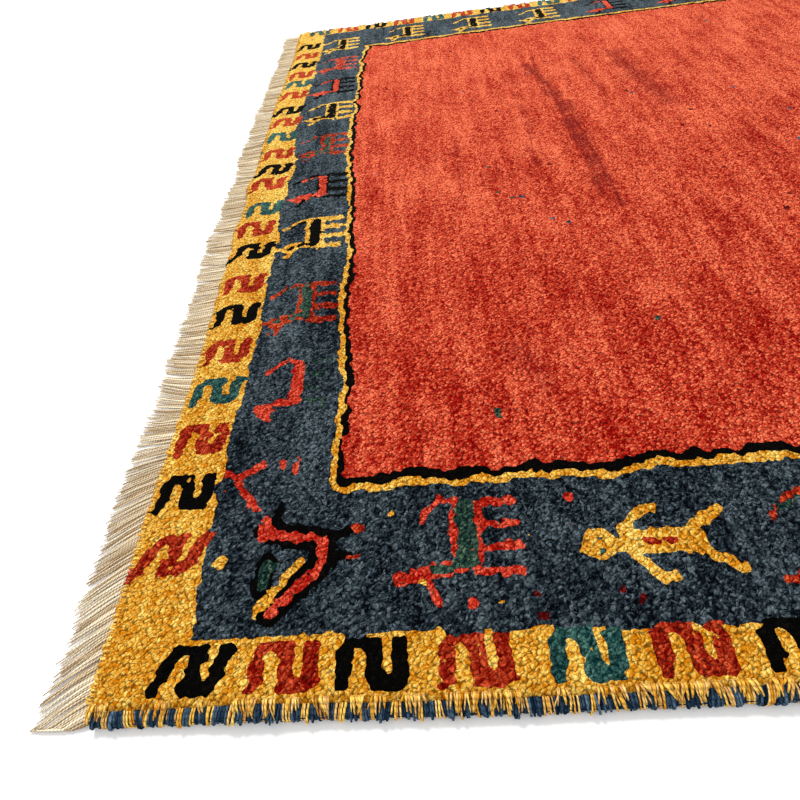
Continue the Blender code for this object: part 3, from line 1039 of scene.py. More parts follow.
SMOKE_BANDS = (
    Smoke(2.6, 0.75, ((162.0, 351.0), (170.0, 313.0), (171.0, 281.0), (170.0, 247.0))),
    Smoke(2.2, 0.70, ((170.0, 247.0), (171.0, 222.0), (168.0, 190.0))),
    Smoke(1.6, 0.60, ((176.0, 290.0), (175.0, 250.0), (174.0, 214.0), (174.0, 181.0))),
    Smoke(1.0, 0.45, ((168.0, 361.0), (168.0, 330.0), (165.0, 293.0))),
    Smoke(1.8, 0.40, ((193.0, 352.0), (196.0, 315.0), (197.0, 297.0))),
    Smoke(6.0, 0.50, ((218.0, 352.0), (222.0, 312.0), (226.0, 276.0))),
    Smoke(1.2, 0.45, ((149.0, 305.0), (149.0, 269.0), (148.0, 250.0))),
    Smoke(1.6, 0.45, ((145.0, 238.0), (146.0, 221.0))),
    Smoke(1.2, 0.30, ((108.0, 263.0), (107.0, 220.0))),
    Smoke(4.0, 0.35, ((113.0, 103.0), (118.0, 95.0), (122.0, 84.0))),
    Smoke(5.0, 0.30, ((402.0, 120.0), (404.0, 182.0))),
    Smoke(2.4, 0.45, ((498.0, 300.0), (499.0, 372.0))),
)


class Chart:
    """The rug's design, one wool to a knot. Places and widths are in knots."""

    HOOK_MIDDLE = 8.0
    HOOK_ROOM = 14.0
    NEAR_HOOK_ROW, FAR_HOOK_ROW = 1.0, 12.0
    END_HOOK_PLACE = 9.5
    END_HOOK_DROP = 6.5
    SLIPS = (-1, *(0,) * 18, 1)
    MISSED_KNOTS = 0.015
    BAND_MIDDLE = 31.0
    RIGHT_BAND_MIDDLE = 33.0
    NEAR_GOAT_START, NEAR_GOAT_STEP = 182.0, 58.0
    FAR_GOAT_START, FAR_GOAT_STEP, FAR_GOATS = 88.0, 51.0, 11
    STRAYS = 150
    STRAY_MARGIN = 60.0
    CLEAR_FADE, WORN_FADE, GOAT_FADE, STRAY_FADE = 0.02, 0.45, 0.03, 0.15
    EDGE_WOBBLE = 0.3
    OUTER_SWAY, GUARD_SWAY, LINE_SWAY = 0.45, 0.40, 0.35
    SWAY_LENGTH = 2.5
    SMOKE_RAGGED, SMOKE_WAVE, SMOKE_SHIFT = 0.35, 0.31, 0.9
    LONG_GUARD = (2.4, 2.6)
    END_GUARD = (1.9, 1.9)
    END_BORDER = 50.0
    LAYERS = (Dye.SAFFRON, Dye.INDIGO, Dye.SAFFRON, Dye.BLACK, Dye.FIELD)

    def __init__(self, loom: Loom, seed: int = 2302) -> None:
        """Draw the whole design.

        Args:
            loom: the knot grid.
            seed: start of the weaver's small irregularities.
        """
        self.loom = loom
        self.rng = np.random.default_rng(seed)
        places = np.arange(loom.along) + 0.5, np.arange(loom.across) + 0.5
        self.i, self.j = np.meshgrid(*places, indexing="ij")
        self.knots = self._bands()
        self._border_hooks()
        self._animals()
        self._flecks()
        self._fray(share=0.04, end_share=0.12)

    def at(self, i: np.ndarray, j: np.ndarray) -> np.ndarray:
        """Give the wool at places on the grid, held to its edges."""
        columns = np.clip(np.asarray(i, dtype=int), 0, self.loom.along - 1)
        rows = np.clip(np.asarray(j, dtype=int), 0, self.loom.across - 1)
        return self.knots[columns, rows]

    def _bands(self) -> np.ndarray:
        """Lay the border, its guard lines and the field."""
        depth = np.minimum.reduce([self._layers(side) for side in Side])
        return np.asarray([dye.value for dye in self.LAYERS])[depth]

    def _layers(self, side: Side) -> np.ndarray:
        """Count the lines between an edge and every knot."""
        long_way = side in (Side.NEAR, Side.FAR)
        count = self.loom.along if long_way else self.loom.across
        outer, inner = (NEAR_OUTER, NEAR_INNER) if long_way else (LEFT_OUTER, LEFT_INNER)
        gold_width, dark_width = self.LONG_GUARD if long_way else self.END_GUARD
        at = np.arange(count) + 0.5
        into = self.j if long_way else self.i
        if side.way > 0:
            at = count - at
            into = (self.loom.across if long_way else self.loom.along) - into
        swings = wander(self.rng, count, self.SWAY_LENGTH, 4)
        first = np.interp(at, *zip(*outer)) + self.OUTER_SWAY * swings[0]
        guard = np.interp(at, *zip(*inner)) + self.GUARD_SWAY * swings[1]
        gold = guard + gold_width + self.LINE_SWAY * swings[2]
        dark = gold + dark_width + self.LINE_SWAY * swings[3]
        layers = np.zeros(into.shape, dtype=int)
        for line in (first, guard, gold, dark):
            layers += into >= (line[:, None] if long_way else line[None, :])
        return layers

    def _border_hooks(self) -> None:
        """Knot the hooks of the yellow border on all four edges."""
        last_i, last_j = self.loom.along, self.loom.across
        near = [*NEAR_HOOKS]
        while near[-1][0] + NEAR_HOOK_STEP < last_i - self.HOOK_ROOM:
            wool = NEAR_HOOK_CYCLE[(len(near) - len(NEAR_HOOKS)) % len(NEAR_HOOK_CYCLE)]
            near.append((near[-1][0] + NEAR_HOOK_STEP, wool, 0.0))
        for middle, wool, lean in near:
            self._hook(SIDE_HOOK, middle, self.NEAR_HOOK_ROW, wool, lean)
            self._hook(SIDE_HOOK, last_i - middle, last_j - self.FAR_HOOK_ROW, wool, 0.0)
        for middle, wool, lean in LEFT_HOOKS:
            self._hook(END_HOOK, self.END_HOOK_PLACE, middle - self.END_HOOK_DROP, wool, lean)
            low = last_j - middle - self.END_HOOK_DROP
            self._hook(END_HOOK, last_i - self.END_HOOK_PLACE, low, wool, lean)

    def _hook(
        self, pattern: tuple[str, ...], middle: float, low: float, wool: Dye, lean: float
    ) -> None:
        """Knot one hook.

        Args:
            pattern: its rows, from the top.
            middle: its middle, in knots from the left end.
            low: its lowest row.
            wool: its wool.
            lean: knots that a row stands to the right of the row below.
        """
        for row, line in enumerate(reversed(pattern)):
            slip = self.rng.choice(self.SLIPS)
            for column, mark in enumerate(line):
                i = math.floor(middle - self.HOOK_MIDDLE + column + lean * (row - 5) + slip)
                j = math.floor(low + 0.5) + row
                if mark != "#" or self.rng.random() <= self.MISSED_KNOTS:
                    continue
                if 0 <= i < self.loom.along and 0 <= j < self.loom.across:
                    self.knots[i, j] = wool

    def _animals(self) -> None:
        """Knot the animals and the small marks between them."""
        last_i, last_j = self.loom.along, self.loom.across
        for one in (*BENT_BEAST, *GREEN_BEAST, *GOLD_FIGURE, *RED_TWIG, *SPECKS):
            self._stroke(one, self.CLEAR_FADE)
        for one in RED_GOAT:
            self._stroke(one, self.WORN_FADE if one.dye == Dye.GREEN else self.GOAT_FADE)
        goats = list(LEFT_GOATS)
        for number, goat in enumerate(LEFT_GOATS):
            near = self.NEAR_GOAT_START + self.NEAR_GOAT_STEP * number
            goats.append(replace(goat, at=(last_i - self.RIGHT_BAND_MIDDLE, goat.at[1])))
            goats.append(replace(goat, at=(near, self.BAND_MIDDLE)))
        for number in range(self.FAR_GOATS):
            pattern = LEFT_GOATS[(number * 3 + 1) % len(LEFT_GOATS)]
            far = self.FAR_GOAT_START + self.FAR_GOAT_STEP * number
            goats.append(replace(pattern, at=(far, last_j - self.BAND_MIDDLE)))
        for goat in goats:
            for one in goat.strokes():
                self._stroke(one, goat.fade)

    def _stroke(self, one: Stroke, fade: float) -> None:
        """Knot one line, leaving out a share of its knots."""
        wobble = self.rng.uniform(-self.EDGE_WOBBLE, self.EDGE_WOBBLE, self.knots.shape) + one.width / 2
        gap = gap_to(one.points, self.i, self.j)
        kept = (gap <= wobble) & (self.rng.random(gap.shape) >= fade)
        self.knots[kept] = one.dye.value

    def smoke(self, i: np.ndarray, j: np.ndarray) -> np.ndarray:
        """Give the depth of the field's dark bands at places on the grid, from 0 to 1."""
        clear = np.ones(i.shape)
        for band in SMOKE_BANDS:
            wave = np.sin(self.SMOKE_WAVE * j + self.SMOKE_SHIFT * band.width)
            ragged = band.width * (1.0 + self.SMOKE_RAGGED * wave)
            clear *= 1.0 - band.depth * np.exp(-((gap_to(band.points, i, j) / ragged) ** 2))
        return 1.0 - clear

    def _flecks(self) -> None:
        """Knot stray wools into the field."""
        ground = self.knots == Dye.FIELD.value
        before = self.knots.copy()
        least = (self.STRAY_MARGIN, self.STRAY_MARGIN)
        most = (self.loom.along - self.STRAY_MARGIN, self.loom.across - self.STRAY_MARGIN)
        for _ in range(self.STRAYS):
            place = self.rng.uniform(least, most)
            wool = self.rng.choice((Dye.SLATE, Dye.WINE, Dye.WINE, Dye.GREEN))
            width = self.rng.uniform(1.0, 2.0)
            ends = (tuple(place), tuple(place + (0.1, 0.6)))
            self._stroke(Stroke(Dye(int(wool)), width, ends), self.STRAY_FADE)
        self.knots[~ground] = before[~ground]

    def _fray(self, share: float, end_share: float) -> None:
        """Let a share of the knots take a neighbour's wool, more of them in the end borders."""
        before = self.knots.copy()
        in_end = np.minimum(self.i, self.loom.along - self.i) < self.END_BORDER
        share = np.where(in_end, end_share, share)
        for shift, axis in ((1, 0), (-1, 0), (1, 1), (-1, 1)):
            swap = self.rng.random(before.shape) < share / 4
            self.knots[swap] = np.roll(before, shift, axis)[swap]


@dataclass(frozen=True)
class KnottedPile:
    """The pile's surface, in strips of knot rows, one face to a knot in the border.

    Attributes:
        loom: the knot grid.
        seed: start of its irregularities.
        fine_along: depth of the finer faces at each end, in knots.
        fine_across: their depth at each side, in knots.
        jitter: how far a grid line crossing strays, in knots.
        rounding: how far one moves into a lone knot, in knots.
        grain: roughness of the surface.
        rim_reach: how far the rim's lines lie out of the wall, from the edge outwards.
        rim_level: their levels over the floor.
        rim_drop: how far the outermost knots sink.
        splay: raggedness of the rim.
        strip_rows: knot rows between the strips.
        map_columns: columns that a strip is folded into on the bake map.
    """

    loom: Loom
    seed: int = 11
    fine_along: int = 66
    fine_across: int = 62
    jitter: float = 0.30
    rounding: float = 0.26
    grain: float = 0.00026
    rim_reach: tuple[float, float, float] = (0.0, 0.0035, 0.0010)
    rim_level: tuple[float, float, float] = (0.0120, 0.0085, 0.0025)
    rim_drop: float = 0.0006
    splay: float = 0.0008
    strip_rows: tuple[int, ...] = (-2, 31, 62, 122, 182, 242, 300, 358, 416, 447, 480)
    map_columns: int = 4

    def build(self, chart: Chart, wool: bpy.types.Material) -> list[bpy.types.Object]:
        """Make the strips.

        Args:
            chart: the design.
            wool: finish of the pile.

        Returns:
            The strips, from the near one to the far one.
        """
        points, knots = self._surface(chart)
        strips = []
        for number, (low, high) in enumerate(zip(self.strip_rows, self.strip_rows[1:]), start=1):
            spans = np.concatenate(self._blocks(low, high))
            strip = self._draft(spans, points, knots, chart, (low, high))
            strips.append(strip.build(f"pile_strip_{number:02d}", wool))
        return strips

    def _surface(self, chart: Chart) -> tuple[np.ndarray, np.ndarray]:
        """Place every grid line crossing, two lines beyond each edge included."""
        loom, rng = self.loom, np.random.default_rng(self.seed)
        raw = np.arange(-2, loom.along + 3), np.arange(-2, loom.across + 3)
        held = np.clip(raw[0], 0, loom.along), np.clip(raw[1], 0, loom.across)
        i, j = (grid.astype(float) for grid in np.meshgrid(*held, indexing="ij"))
        rim = np.minimum.reduce([i, loom.along - i, j, loom.across - j])
        pull_i, pull_j = self._rounding(chart, raw)
        loose = np.where(rim > 0, self.jitter, 0.0) * np.where(pull_i == 0, 1.0, 0.4)
        slack_i = loose * rng.uniform(-1, 1, i.shape)
        slack_j = loose * rng.uniform(-1, 1, i.shape)
        x, y = loom.place(i + pull_i + slack_i, j + pull_j + slack_j)
        step = np.maximum(abs(raw[0] - held[0])[:, None], abs(raw[1] - held[1])[None, :])
        ragged = np.where(rim < 1, self.splay, 0.0) * rng.uniform(-1, 1, i.shape)
        reach = np.take(self.rim_reach, step) + ragged
        way_x = np.where(i == 0, -1, np.where(i == loom.along, 1, 0))
        way_y = np.where(j == 0, -1, np.where(j == loom.across, 1, 0))
        x, y = x + way_x * reach, y + way_y * reach
        level = loom.pile_height + loom.lump(x, y) + self.grain * rng.normal(size=i.shape)
        level = np.where(rim < 2, level - self.rim_drop, level)
        rim_grain = 0.4 * self.grain * rng.normal(size=i.shape)
        level = np.where(rim < 1, np.take(self.rim_level, step) + rim_grain, level)
        points = np.stack([x, y, level], axis=-1)
        self._join_fine_to_coarse(points)
        knots = np.stack([*np.meshgrid(*raw, indexing="ij"), np.zeros(i.shape)], axis=-1)
        return points, knots

    def _rounding(
        self, chart: Chart, lines: tuple[np.ndarray, np.ndarray]
    ) -> tuple[np.ndarray, np.ndarray]:
        """Find how far each crossing moves into a lone knot beside it, to round a colour's corners.

        Args:
            chart: the design.
            lines: the grid lines along X and along Y.

        Returns:
            The moves along X and along Y, in knots.
        """
        a, b = np.meshgrid(*lines, indexing="ij")
        moves = np.zeros((2, *a.shape))
        for way_i, way_j in ((-1, -1), (-1, 1), (1, -1), (1, 1)):
            own = chart.at(a - (way_i < 0), b - (way_j < 0))
            beside = chart.at(a - (way_i > 0), b - (way_j < 0))
            behind = chart.at(a - (way_i < 0), b - (way_j > 0))
            across = chart.at(a - (way_i > 0), b - (way_j > 0))
            lone = (beside == behind) & (behind == across) & (own != across)
            moves += lone * self.rounding * np.array([way_i, way_j])[:, None, None]
        return moves[0], moves[1]

    def _join_fine_to_coarse(self, points: np.ndarray) -> None:
        """Lay the border's middle points on the edges of the field's wider faces."""
        first, last = self.fine_along + 2, self.loom.along - self.fine_along + 2
        low, high = self.fine_across + 2, self.loom.across - self.fine_across + 2
        for column in (first, last):
            before, after = points[column, low:high:2], points[column, low + 2 : high + 1 : 2]
            points[column, low + 1 : high : 2] = (before + after) / 2
        for row in (low, high):
            before, after = points[first:last:2, row], points[first + 2 : last + 1 : 2, row]
            points[first + 1 : last : 2, row] = (before + after) / 2

    def _blocks(self, low: int, high: int) -> list[np.ndarray]:
        """List a strip's faces as their first and last grid lines along X and along Y."""
        first, last = self.fine_along, self.loom.along - self.fine_along
        ends = (-2, self.loom.along + 2)
        if low < self.fine_across or high > self.loom.across - self.fine_across:
            cuts = [(ends[0], ends[1], 1)]
        else:
            cuts = [(ends[0], first, 1), (first, last, 2), (last, ends[1], 1)]
        blocks = []
        for start, stop, size in cuts:
            a, b = np.meshgrid(np.arange(start, stop, size), np.arange(low, high, size), indexing="ij")
            blocks.append(np.stack([a, a + size, b, b + size], axis=-1).reshape(-1, 4))
        return blocks

    def _draft(
        self, spans: np.ndarray, points: np.ndarray, knots: np.ndarray, chart: Chart, rows: tuple[int, int]
    ) -> Draft:
        """Draw up one strip.

        Args:
            spans: its faces, as their first and last grid lines along X and along Y.
            points: places of all the grid line crossings.
            knots: places of the crossings on the knot grid.
            chart: the design.
            rows: the strip's first and last row.

        Returns:
            The strip's mesh.
        """
        a0, a1, b0, b1 = spans.T
        a, b = np.stack([a0, a1, a1, a0], -1), np.stack([b0, b0, b1, b1], -1)
        used, quads = np.unique((a + 2) * points.shape[1] + b + 2, return_inverse=True)
        layout = self._layout(a, b, a0, rows)
        drawn = Draft(points.reshape(-1, 3)[used], quads.reshape(-1, 4), layout=layout)
        place = knots.reshape(-1, 3)[used]
        drawn.note("knot", "POINT", "FLOAT_VECTOR", place)
        drawn.note("smoke", "POINT", "FLOAT", chart.smoke(place[:, 0], place[:, 1]))
        drawn.note("dye", "FACE", "FLOAT", (chart.at(a0, b0) + 0.5) / len(Dye))
        return drawn

    def _layout(
        self, a: np.ndarray, b: np.ndarray, start: np.ndarray, rows: tuple[int, int]
    ) -> np.ndarray:
        """Fold the strip onto the bake map as several shorter columns."""
        width = math.ceil((self.loom.along + 4) / self.map_columns / 2) * 2
        fold = (start + 2) // width
        tall = rows[1] - rows[0] + 3
        u = (a + 2 - fold[:, None] * width + 1.5) / (width + 4)
        v = (fold[:, None] * tall + b - rows[0] + 1.5) / (tall * self.map_columns)
        return np.stack([u, v], axis=-1).reshape(-1, 2)


@dataclass(frozen=True)
class WovenGround:
    """The woven ground under the pile, whose underside shows the backs of the knots.

    Attributes:
        loom: the knot grid.
        level: its level over the floor.
        rim_level: level of its edge, inside the pile.
        knots_a_face: knots to a face, along X and along Y.
        flat: width and length of the flat cloth; not used.
    """

    MAP_EDGE = 0.01

    loom: Loom
    level: float = 0.0006
    rim_level: float = 0.0034
    knots_a_face: int = 2
    flat: tuple[float, float] = (1.67, 2.40)

    def build(self, chart: Chart, backs: bpy.types.Material) -> bpy.types.Object:
        """Make the ground.

        Args:
            chart: the design.
            backs: finish of the knots' backs.

        Returns:
            The ground.
        """
        size = self.knots_a_face
        lines = [np.arange(0, count + 1, size) for count in (self.loom.along, self.loom.across)]
        held = [np.concatenate([line[:1], line, line[-1:]]) for line in lines]
        i, j = np.meshgrid(*held, indexing="ij")
        x, y = self.loom.place(i.astype(float), j.astype(float))
        number = np.arange(i.size).reshape(i.shape)
        rim = np.ones(i.shape, dtype=bool)
        rim[1:-1, 1:-1] = False
        points = np.stack([x, y, np.where(rim, self.rim_level, self.level)], axis=-1).reshape(-1, 3)
        corners = [number[:-1, :-1], number[:-1, 1:], number[1:, 1:], number[1:, :-1]]
        quads = np.stack(corners, -1).reshape(-1, 4)
        share = np.stack([i / self.loom.along, j / self.loom.across], -1)
        spread = share * (1.0 - 2 * self.MAP_EDGE) + self.MAP_EDGE
        drawn = Draft(points, quads, layout=spread.reshape(-1, 2)[quads.ravel()])
        drawn.note("knot", "POINT", "FLOAT_VECTOR", np.stack([i, j, 0 * i], -1).reshape(-1, 3))
        wools = chart.at(i[:-1, :-1], j[:-1, :-1]).ravel()
        drawn.note("dye", "FACE", "FLOAT", (wools + 0.5) / len(Dye))
        return drawn.build("woven_ground", backs)


@dataclass(frozen=True)
class Selvedge:
    """A side cord: edge warps overcast with blue wool, with groups of yellow wraps between.

    Attributes:
        loom: the knot grid.
        side: the rug's edge.
        seed: start of its irregularities.
        pitch: distance from wrap to wrap.
        radius: of a wrap's yarn.
        half_width: half of the cord's width.
        middle: level of its middle over the floor.
        half_height: half of its height.
        start: angle at which a wrap leaves the pile.
        end: angle at which it ends under the cord.
        steps: points to a wrap.
        straw_share: share of the yellow wraps that are pale.
        slant, slant_chance: how far neighbours lean together, and each by itself.
        gold_lift, gold_slim: rise and width of the yellow wraps against the blue ones.
        gold_groups, blue_groups: least size of a group, and the size that it stays under.
        cord_size, cord_squash: width and flatness of the bundle inside.
    """

    loom: Loom
    side: Side
    seed: int
    pitch: float = 0.0021
    radius: float = 0.00115
    half_width: float = 0.0070
    middle: float = 0.0044
    half_height: float = 0.0042
    start: float = 0.26
    end: float = 3.95
    steps: int = 7
    straw_share: float = 0.45
    slant: float = 0.0020
    slant_chance: float = 0.0007
    gold_lift: float = 0.0004
    gold_slim: float = 0.85
    gold_groups: tuple[int, int] = (2, 5)
    blue_groups: tuple[int, int] = (3, 7)
    cord_size: float = 1.24
    cord_squash: float = 0.52

    def build(self, yarn: bpy.types.Material) -> list[bpy.types.Object]:
        """Make the wraps and the cord inside them."""
        return [self._wraps(yarn), self._cord(yarn)]

    def place(self, x: np.ndarray, out: np.ndarray, level: np.ndarray) -> np.ndarray:
        """Turn places along the cord, out of the wall and above the floor into points."""
        y = self.loom.wall(x, self.side) + self.side.way * out
        return np.stack([x, y, level + self.loom.side_lift(x, self.side.way)], axis=-1)

    def _wraps(self, yarn: bpy.types.Material) -> bpy.types.Object:
        """Wind the yarn round the cord, one strand to a wrap."""
        rng = np.random.default_rng(self.seed)
        reach = self.loom.length / 2 - 0.003
        count = int(2 * reach / self.pitch)
        at = np.linspace(-reach, reach, count) + rng.uniform(-0.3, 0.3, count) * self.pitch
        turn = np.linspace(self.start, self.end, self.steps)
        slant = self.slant * wander(rng, count, 3.0)[0] + self.slant_chance * rng.normal(size=count)
        share = np.linspace(-0.5, 1.0, self.steps)
        swell_out = 1.0 + 0.06 * rng.normal(size=(count, 1))
        x = np.clip(at[:, None] + slant[:, None] * share, -reach, reach)
        out = self.half_width * (1.0 - np.cos(turn)) * swell_out
        level = self.middle + self.half_height * np.sin(turn) * swell_out
        radii = self.radius * (1.0 + 0.15 * rng.normal(size=(count, 1))) * np.ones(self.steps)
        dye, tone = self._wools(rng, count)
        gold = (dye != Dye.SLATE.value)[:, None]
        paths = self.place(x, out, np.maximum(level + self.gold_lift * gold, self.radius))
        radii = radii * np.where(gold, self.gold_slim, 1.0)
        wraps = Strands(paths, radii, dye, tone, across=(1.0, 0.0, 0.0))
        return wraps.draft().build(f"selvedge_{self.side.label}_wraps", yarn)

    def _wools(self, rng: np.random.Generator, count: int) -> tuple[np.ndarray, np.ndarray]:
        """Choose the wraps' wools in short groups, and their shades."""
        dye = np.empty(count)
        at, gold = 0, False
        while at < count:
            size = int(rng.integers(*(self.gold_groups if gold else self.blue_groups)))
            dye[at : at + size] = (Dye.SAFFRON if gold else Dye.SLATE).value
            at, gold = at + size, not gold
        yellow = dye == Dye.SAFFRON.value
        tone = np.clip(rng.normal(0.42, 0.2, count) + 0.25 * yellow, 0.0, 1.0)
        pale = yellow & (rng.random(count) < self.straw_share)
        return np.where(pale, Dye.STRAW.value, dye), tone

    def _cord(self, yarn: bpy.types.Material) -> bpy.types.Object:
        """Make the bundle of edge warps inside the wraps."""
        steps = 241
        x = np.linspace(-self.loom.length / 2 + 0.004, self.loom.length / 2 - 0.004, steps)
        path = self.place(x, np.full(steps, self.half_width), np.full(steps, self.middle))
        radii = np.full((1, steps), self.half_width * self.cord_size)
        wool, tone = np.array([Dye.SLATE.value]), np.array([0.2])
        cord = Strands(path[None], radii, wool, tone, squash=self.cord_squash)
        return cord.draft().build(f"selvedge_{self.side.label}_cord", yarn)


@dataclass(frozen=True)
class LeaningTufts:
    """Cut tips of the outermost knots, which lean out over an edge.

    Attributes:
        loom: the knot grid.
        side: the rug's edge.
        seed: start of its irregularities.
        per_knot: tufts to a knot.
        straw_share: share of the yellow tufts that are pale on the long sides.
        sparse: value of the drift under which a long side has no tufts.
        radii: radius at each step.
    """

    SHEAR = np.array([0.0, 0.15, 0.45, 0.8, 1.0])
    LIFT = np.array([0.0, 0.3, 0.8, 1.0, 1.0])
    CORD_OUT = np.array([-0.0020, 0.0010, 0.0040, 0.0068, 0.0090])
    CORD_OVER = np.array([0.0010, 0.0038, 0.0034, 0.0020, 0.0010])
    END_OUT = np.array([-0.0020, 0.0012, 0.0038, 0.0056, 0.0066])
    END_LEVEL = np.array([0.0105, 0.0128, 0.0108, 0.0078, 0.0052])
    CORD_MIDDLE, CORD_REACH = 0.0070, 0.0072
    CORD_TOP, CORD_HEIGHT = 0.0096, 0.0042

    loom: Loom
    side: Side
    seed: int
    per_knot: float = 1.6
    straw_share: float = 0.55
    sparse: float = -0.25
    radii: tuple[float, ...] = (0.0011, 0.0012, 0.0010, 0.0008, 0.0004)

    def build(self, chart: Chart, yarn: bpy.types.Material) -> bpy.types.Object:
        """Make the tufts.

        Args:
            chart: the design, for their wools.
            yarn: their finish.

        Returns:
            The tufts of this edge.
        """
        rng = np.random.default_rng(self.seed)
        long_way = self.side in (Side.NEAR, Side.FAR)
        knots = self.loom.along if long_way else self.loom.across
        half = self.loom.length / 2 if long_way else self.loom.half_y
        at = np.linspace(-half + 0.002, half - 0.002, int(knots * self.per_knot))
        if long_way:
            at = at[wander(rng, len(at), 2.5)[0] > self.sparse]
        count = len(at)
        at = at + rng.uniform(-0.0008, 0.0008, count)
        out, level = self._profile(rng, count, long_way)
        lean = 0.0026 * wander(rng, count, 2.5)[0] + 0.0018 * rng.normal(size=count)
        along = np.clip(at[:, None] + lean[:, None] * self.SHEAR, -half, half)
        wall = self.loom.wall(along, self.side)
        if long_way:
            lift = self.loom.side_lift(along, self.side.way) * self.LIFT
            paths = np.stack([along, wall + self.side.way * out, level + lift], axis=-1)
        else:
            paths = np.stack([wall + self.side.way * out, along, level], axis=-1)
        place = (at + half) / (2 * half) * knots
        inner = rng.uniform(0.0, 0.95, count)
        edge = self.loom.across if long_way else self.loom.along
        inner = edge - 1 - inner if self.side.way > 0 else inner
        dye = chart.at(place, inner) if long_way else chart.at(inner, place)
        pale = (dye == Dye.SAFFRON.value) & (rng.random(count) < (self.straw_share if long_way else 0.0))
        dye = np.where(pale, Dye.STRAW.value, dye)
        tone = np.clip(rng.normal(0.62, 0.2, count), 0.0, 1.0)
        radii = np.asarray(self.radii) * (1.0 + 0.15 * rng.normal(size=(count, 1)))
        across = (1.0, 0.0, 0.0) if long_way else (0.0, 1.0, 0.0)
        tufts = Strands(paths, radii, dye, tone, across=across)
        return tufts.draft().build(f"edge_tufts_{self.side.label}", yarn)

    def _profile(
        self, rng: np.random.Generator, count: int, over_cord: bool
    ) -> tuple[np.ndarray, np.ndarray]:
        """Shape the tufts in section, as reach out of the wall and level over the floor."""
        size = np.clip(rng.normal(1.0, 0.22, (count, 1)), 0.55, 1.5)
        if over_cord:
            out = self.CORD_OUT * size
            drop = np.clip((out - self.CORD_MIDDLE) / self.CORD_REACH, -1.0, 1.0)
            cord = self.CORD_TOP - self.CORD_HEIGHT * (1.0 - np.sqrt(1.0 - drop**2))
            over_cord_level = np.maximum(cord + self.CORD_OVER, 0.0030)
            return out, np.where(out < 0.0015, 0.0098 + self.CORD_OVER, over_cord_level)
        level = self.END_LEVEL + 0.0008 * rng.normal(size=(count, 1))
        return self.END_OUT * size, level


@dataclass(frozen=True)
class Fringe:
    """The warp ends at one end of the rug, loose on the floor.

    Attributes:
        loom: the knot grid.
        side: the rug's end.
        seed: start of its irregularities.
        count: number of warp ends.
        length: their mean length.
        radius: radius at the root.
        steps: points to an end.
        drift: how far neighbours stray together.
        lock_lean: how far each lock strays by itself.
        wave: size of an end's own waves.
        strip_reach: half of the woven strip's width.
        tone: middle shade of the ends.
        painted_layer_shade: painted shade, how much darker the lower ends are coloured than the upper ones
            that lie over them.
        tone_chance: spread of the shade from end to end.
    """

    loom: Loom
    side: Side
    seed: int
    count: int = 960
    length: float = 0.051
    radius: float = 0.00098
    steps: int = 7
    drift: float = 0.0022
    lock_lean: float = 0.0009
    wave: float = 0.00065
    strip_reach: float = 0.0026
    tone: float = 0.58
    painted_layer_shade: float = 0.36
    tone_chance: float = 0.20

    def build(self, yarn: bpy.types.Material) -> list[bpy.types.Object]:
        """Make the warp ends and the strip that they leave."""
        return [self._ends(yarn), self._strip(yarn)]

    def _ends(self, yarn: bpy.types.Material) -> bpy.types.Object:
        """Lay the loose ends on the floor in soft locks."""
        rng = np.random.default_rng(self.seed)
        half = self.loom.width / 2 - 0.004
        at = np.linspace(-half, half, self.count)
        share = np.linspace(0.0, 1.0, self.steps)
        lock = np.cumsum(rng.random(self.count) < 1 / 7)
        middles = np.array([at[lock == number].mean() for number in range(lock[-1] + 1)])
        gather = (middles[lock] - at) * rng.uniform(0.0, 0.25, self.count)
        slope = -self.side.way * np.interp(self.loom.width / 2 - self.side.way * at, *zip(*FRINGE_LEAN))
        drift = self.drift * wander(rng, self.count, 22.0)[0]
        lean = self.length * slope + drift + self.lock_lean * rng.normal(size=lock[-1] + 1)[lock]
        waves = self.wave * wander(rng, self.steps, 1.1, self.count) * share
        along = at[:, None] + gather[:, None] * share**1.5 + lean[:, None] * share**1.3 + waves
        size = 1.0 + 0.05 * rng.normal(size=self.count) + 0.04 * wander(rng, self.count, 9.0)[0]
        size = self.length * np.clip(size, 0.7, 1.13)
        out = 0.0010 + size[:, None] * share / np.sqrt(1.0 + slope**2)[:, None]
        layer = rng.random((self.count, 1))
        level = 0.0009 + 0.0018 * layer * (1.0 - 0.4 * share) + 0.0016 * (1.0 - share) ** 3
        level = level + 0.0003 * abs(wander(rng, self.steps, 1.1, self.count))
        along = np.clip(along, -self.loom.width / 2, self.loom.width / 2)
        wall = self.loom.wall(at, self.side)[:, None]
        paths = np.stack([wall + self.side.way * out, along, level], axis=-1)
        radii = self.radius * (1.0 - 0.45 * share**2) * (1.0 + 0.12 * rng.normal(size=(self.count, 1)))
        # Painted shade: the lower ends, which lie under the upper ones, get a darker colour.
        tone = self.tone + self.painted_layer_shade * (layer[:, 0] - 0.5)
        tone = np.clip(tone + self.tone_chance * rng.normal(size=self.count), 0.0, 1.0)
        ends = Strands(paths, radii, np.full(self.count, Dye.UNDYED.value), tone)
        return ends.draft().build(f"fringe_{self.side.label}_ends", yarn)

    def _strip(self, yarn: bpy.types.Material) -> bpy.types.Object:
        """Make the narrow woven strip at the ends' roots."""
        steps = 171
        y = np.linspace(-self.loom.width / 2 + 0.005, self.loom.width / 2 - 0.005, steps)
        x = self.loom.wall(y, self.side) + self.side.way * self.strip_reach * 0.4
        path = np.stack([x, y, np.full(steps, 0.0022)], axis=-1)
        radii = np.full((1, steps), self.strip_reach)
        wool, tone = np.array([Dye.UNDYED.value]), np.array([0.3])
        strip = Strands(path[None], radii, wool, tone, across=(1.0, 0.0, 0.0), squash=0.8)
        return strip.draft().build(f"fringe_{self.side.label}_strip", yarn)


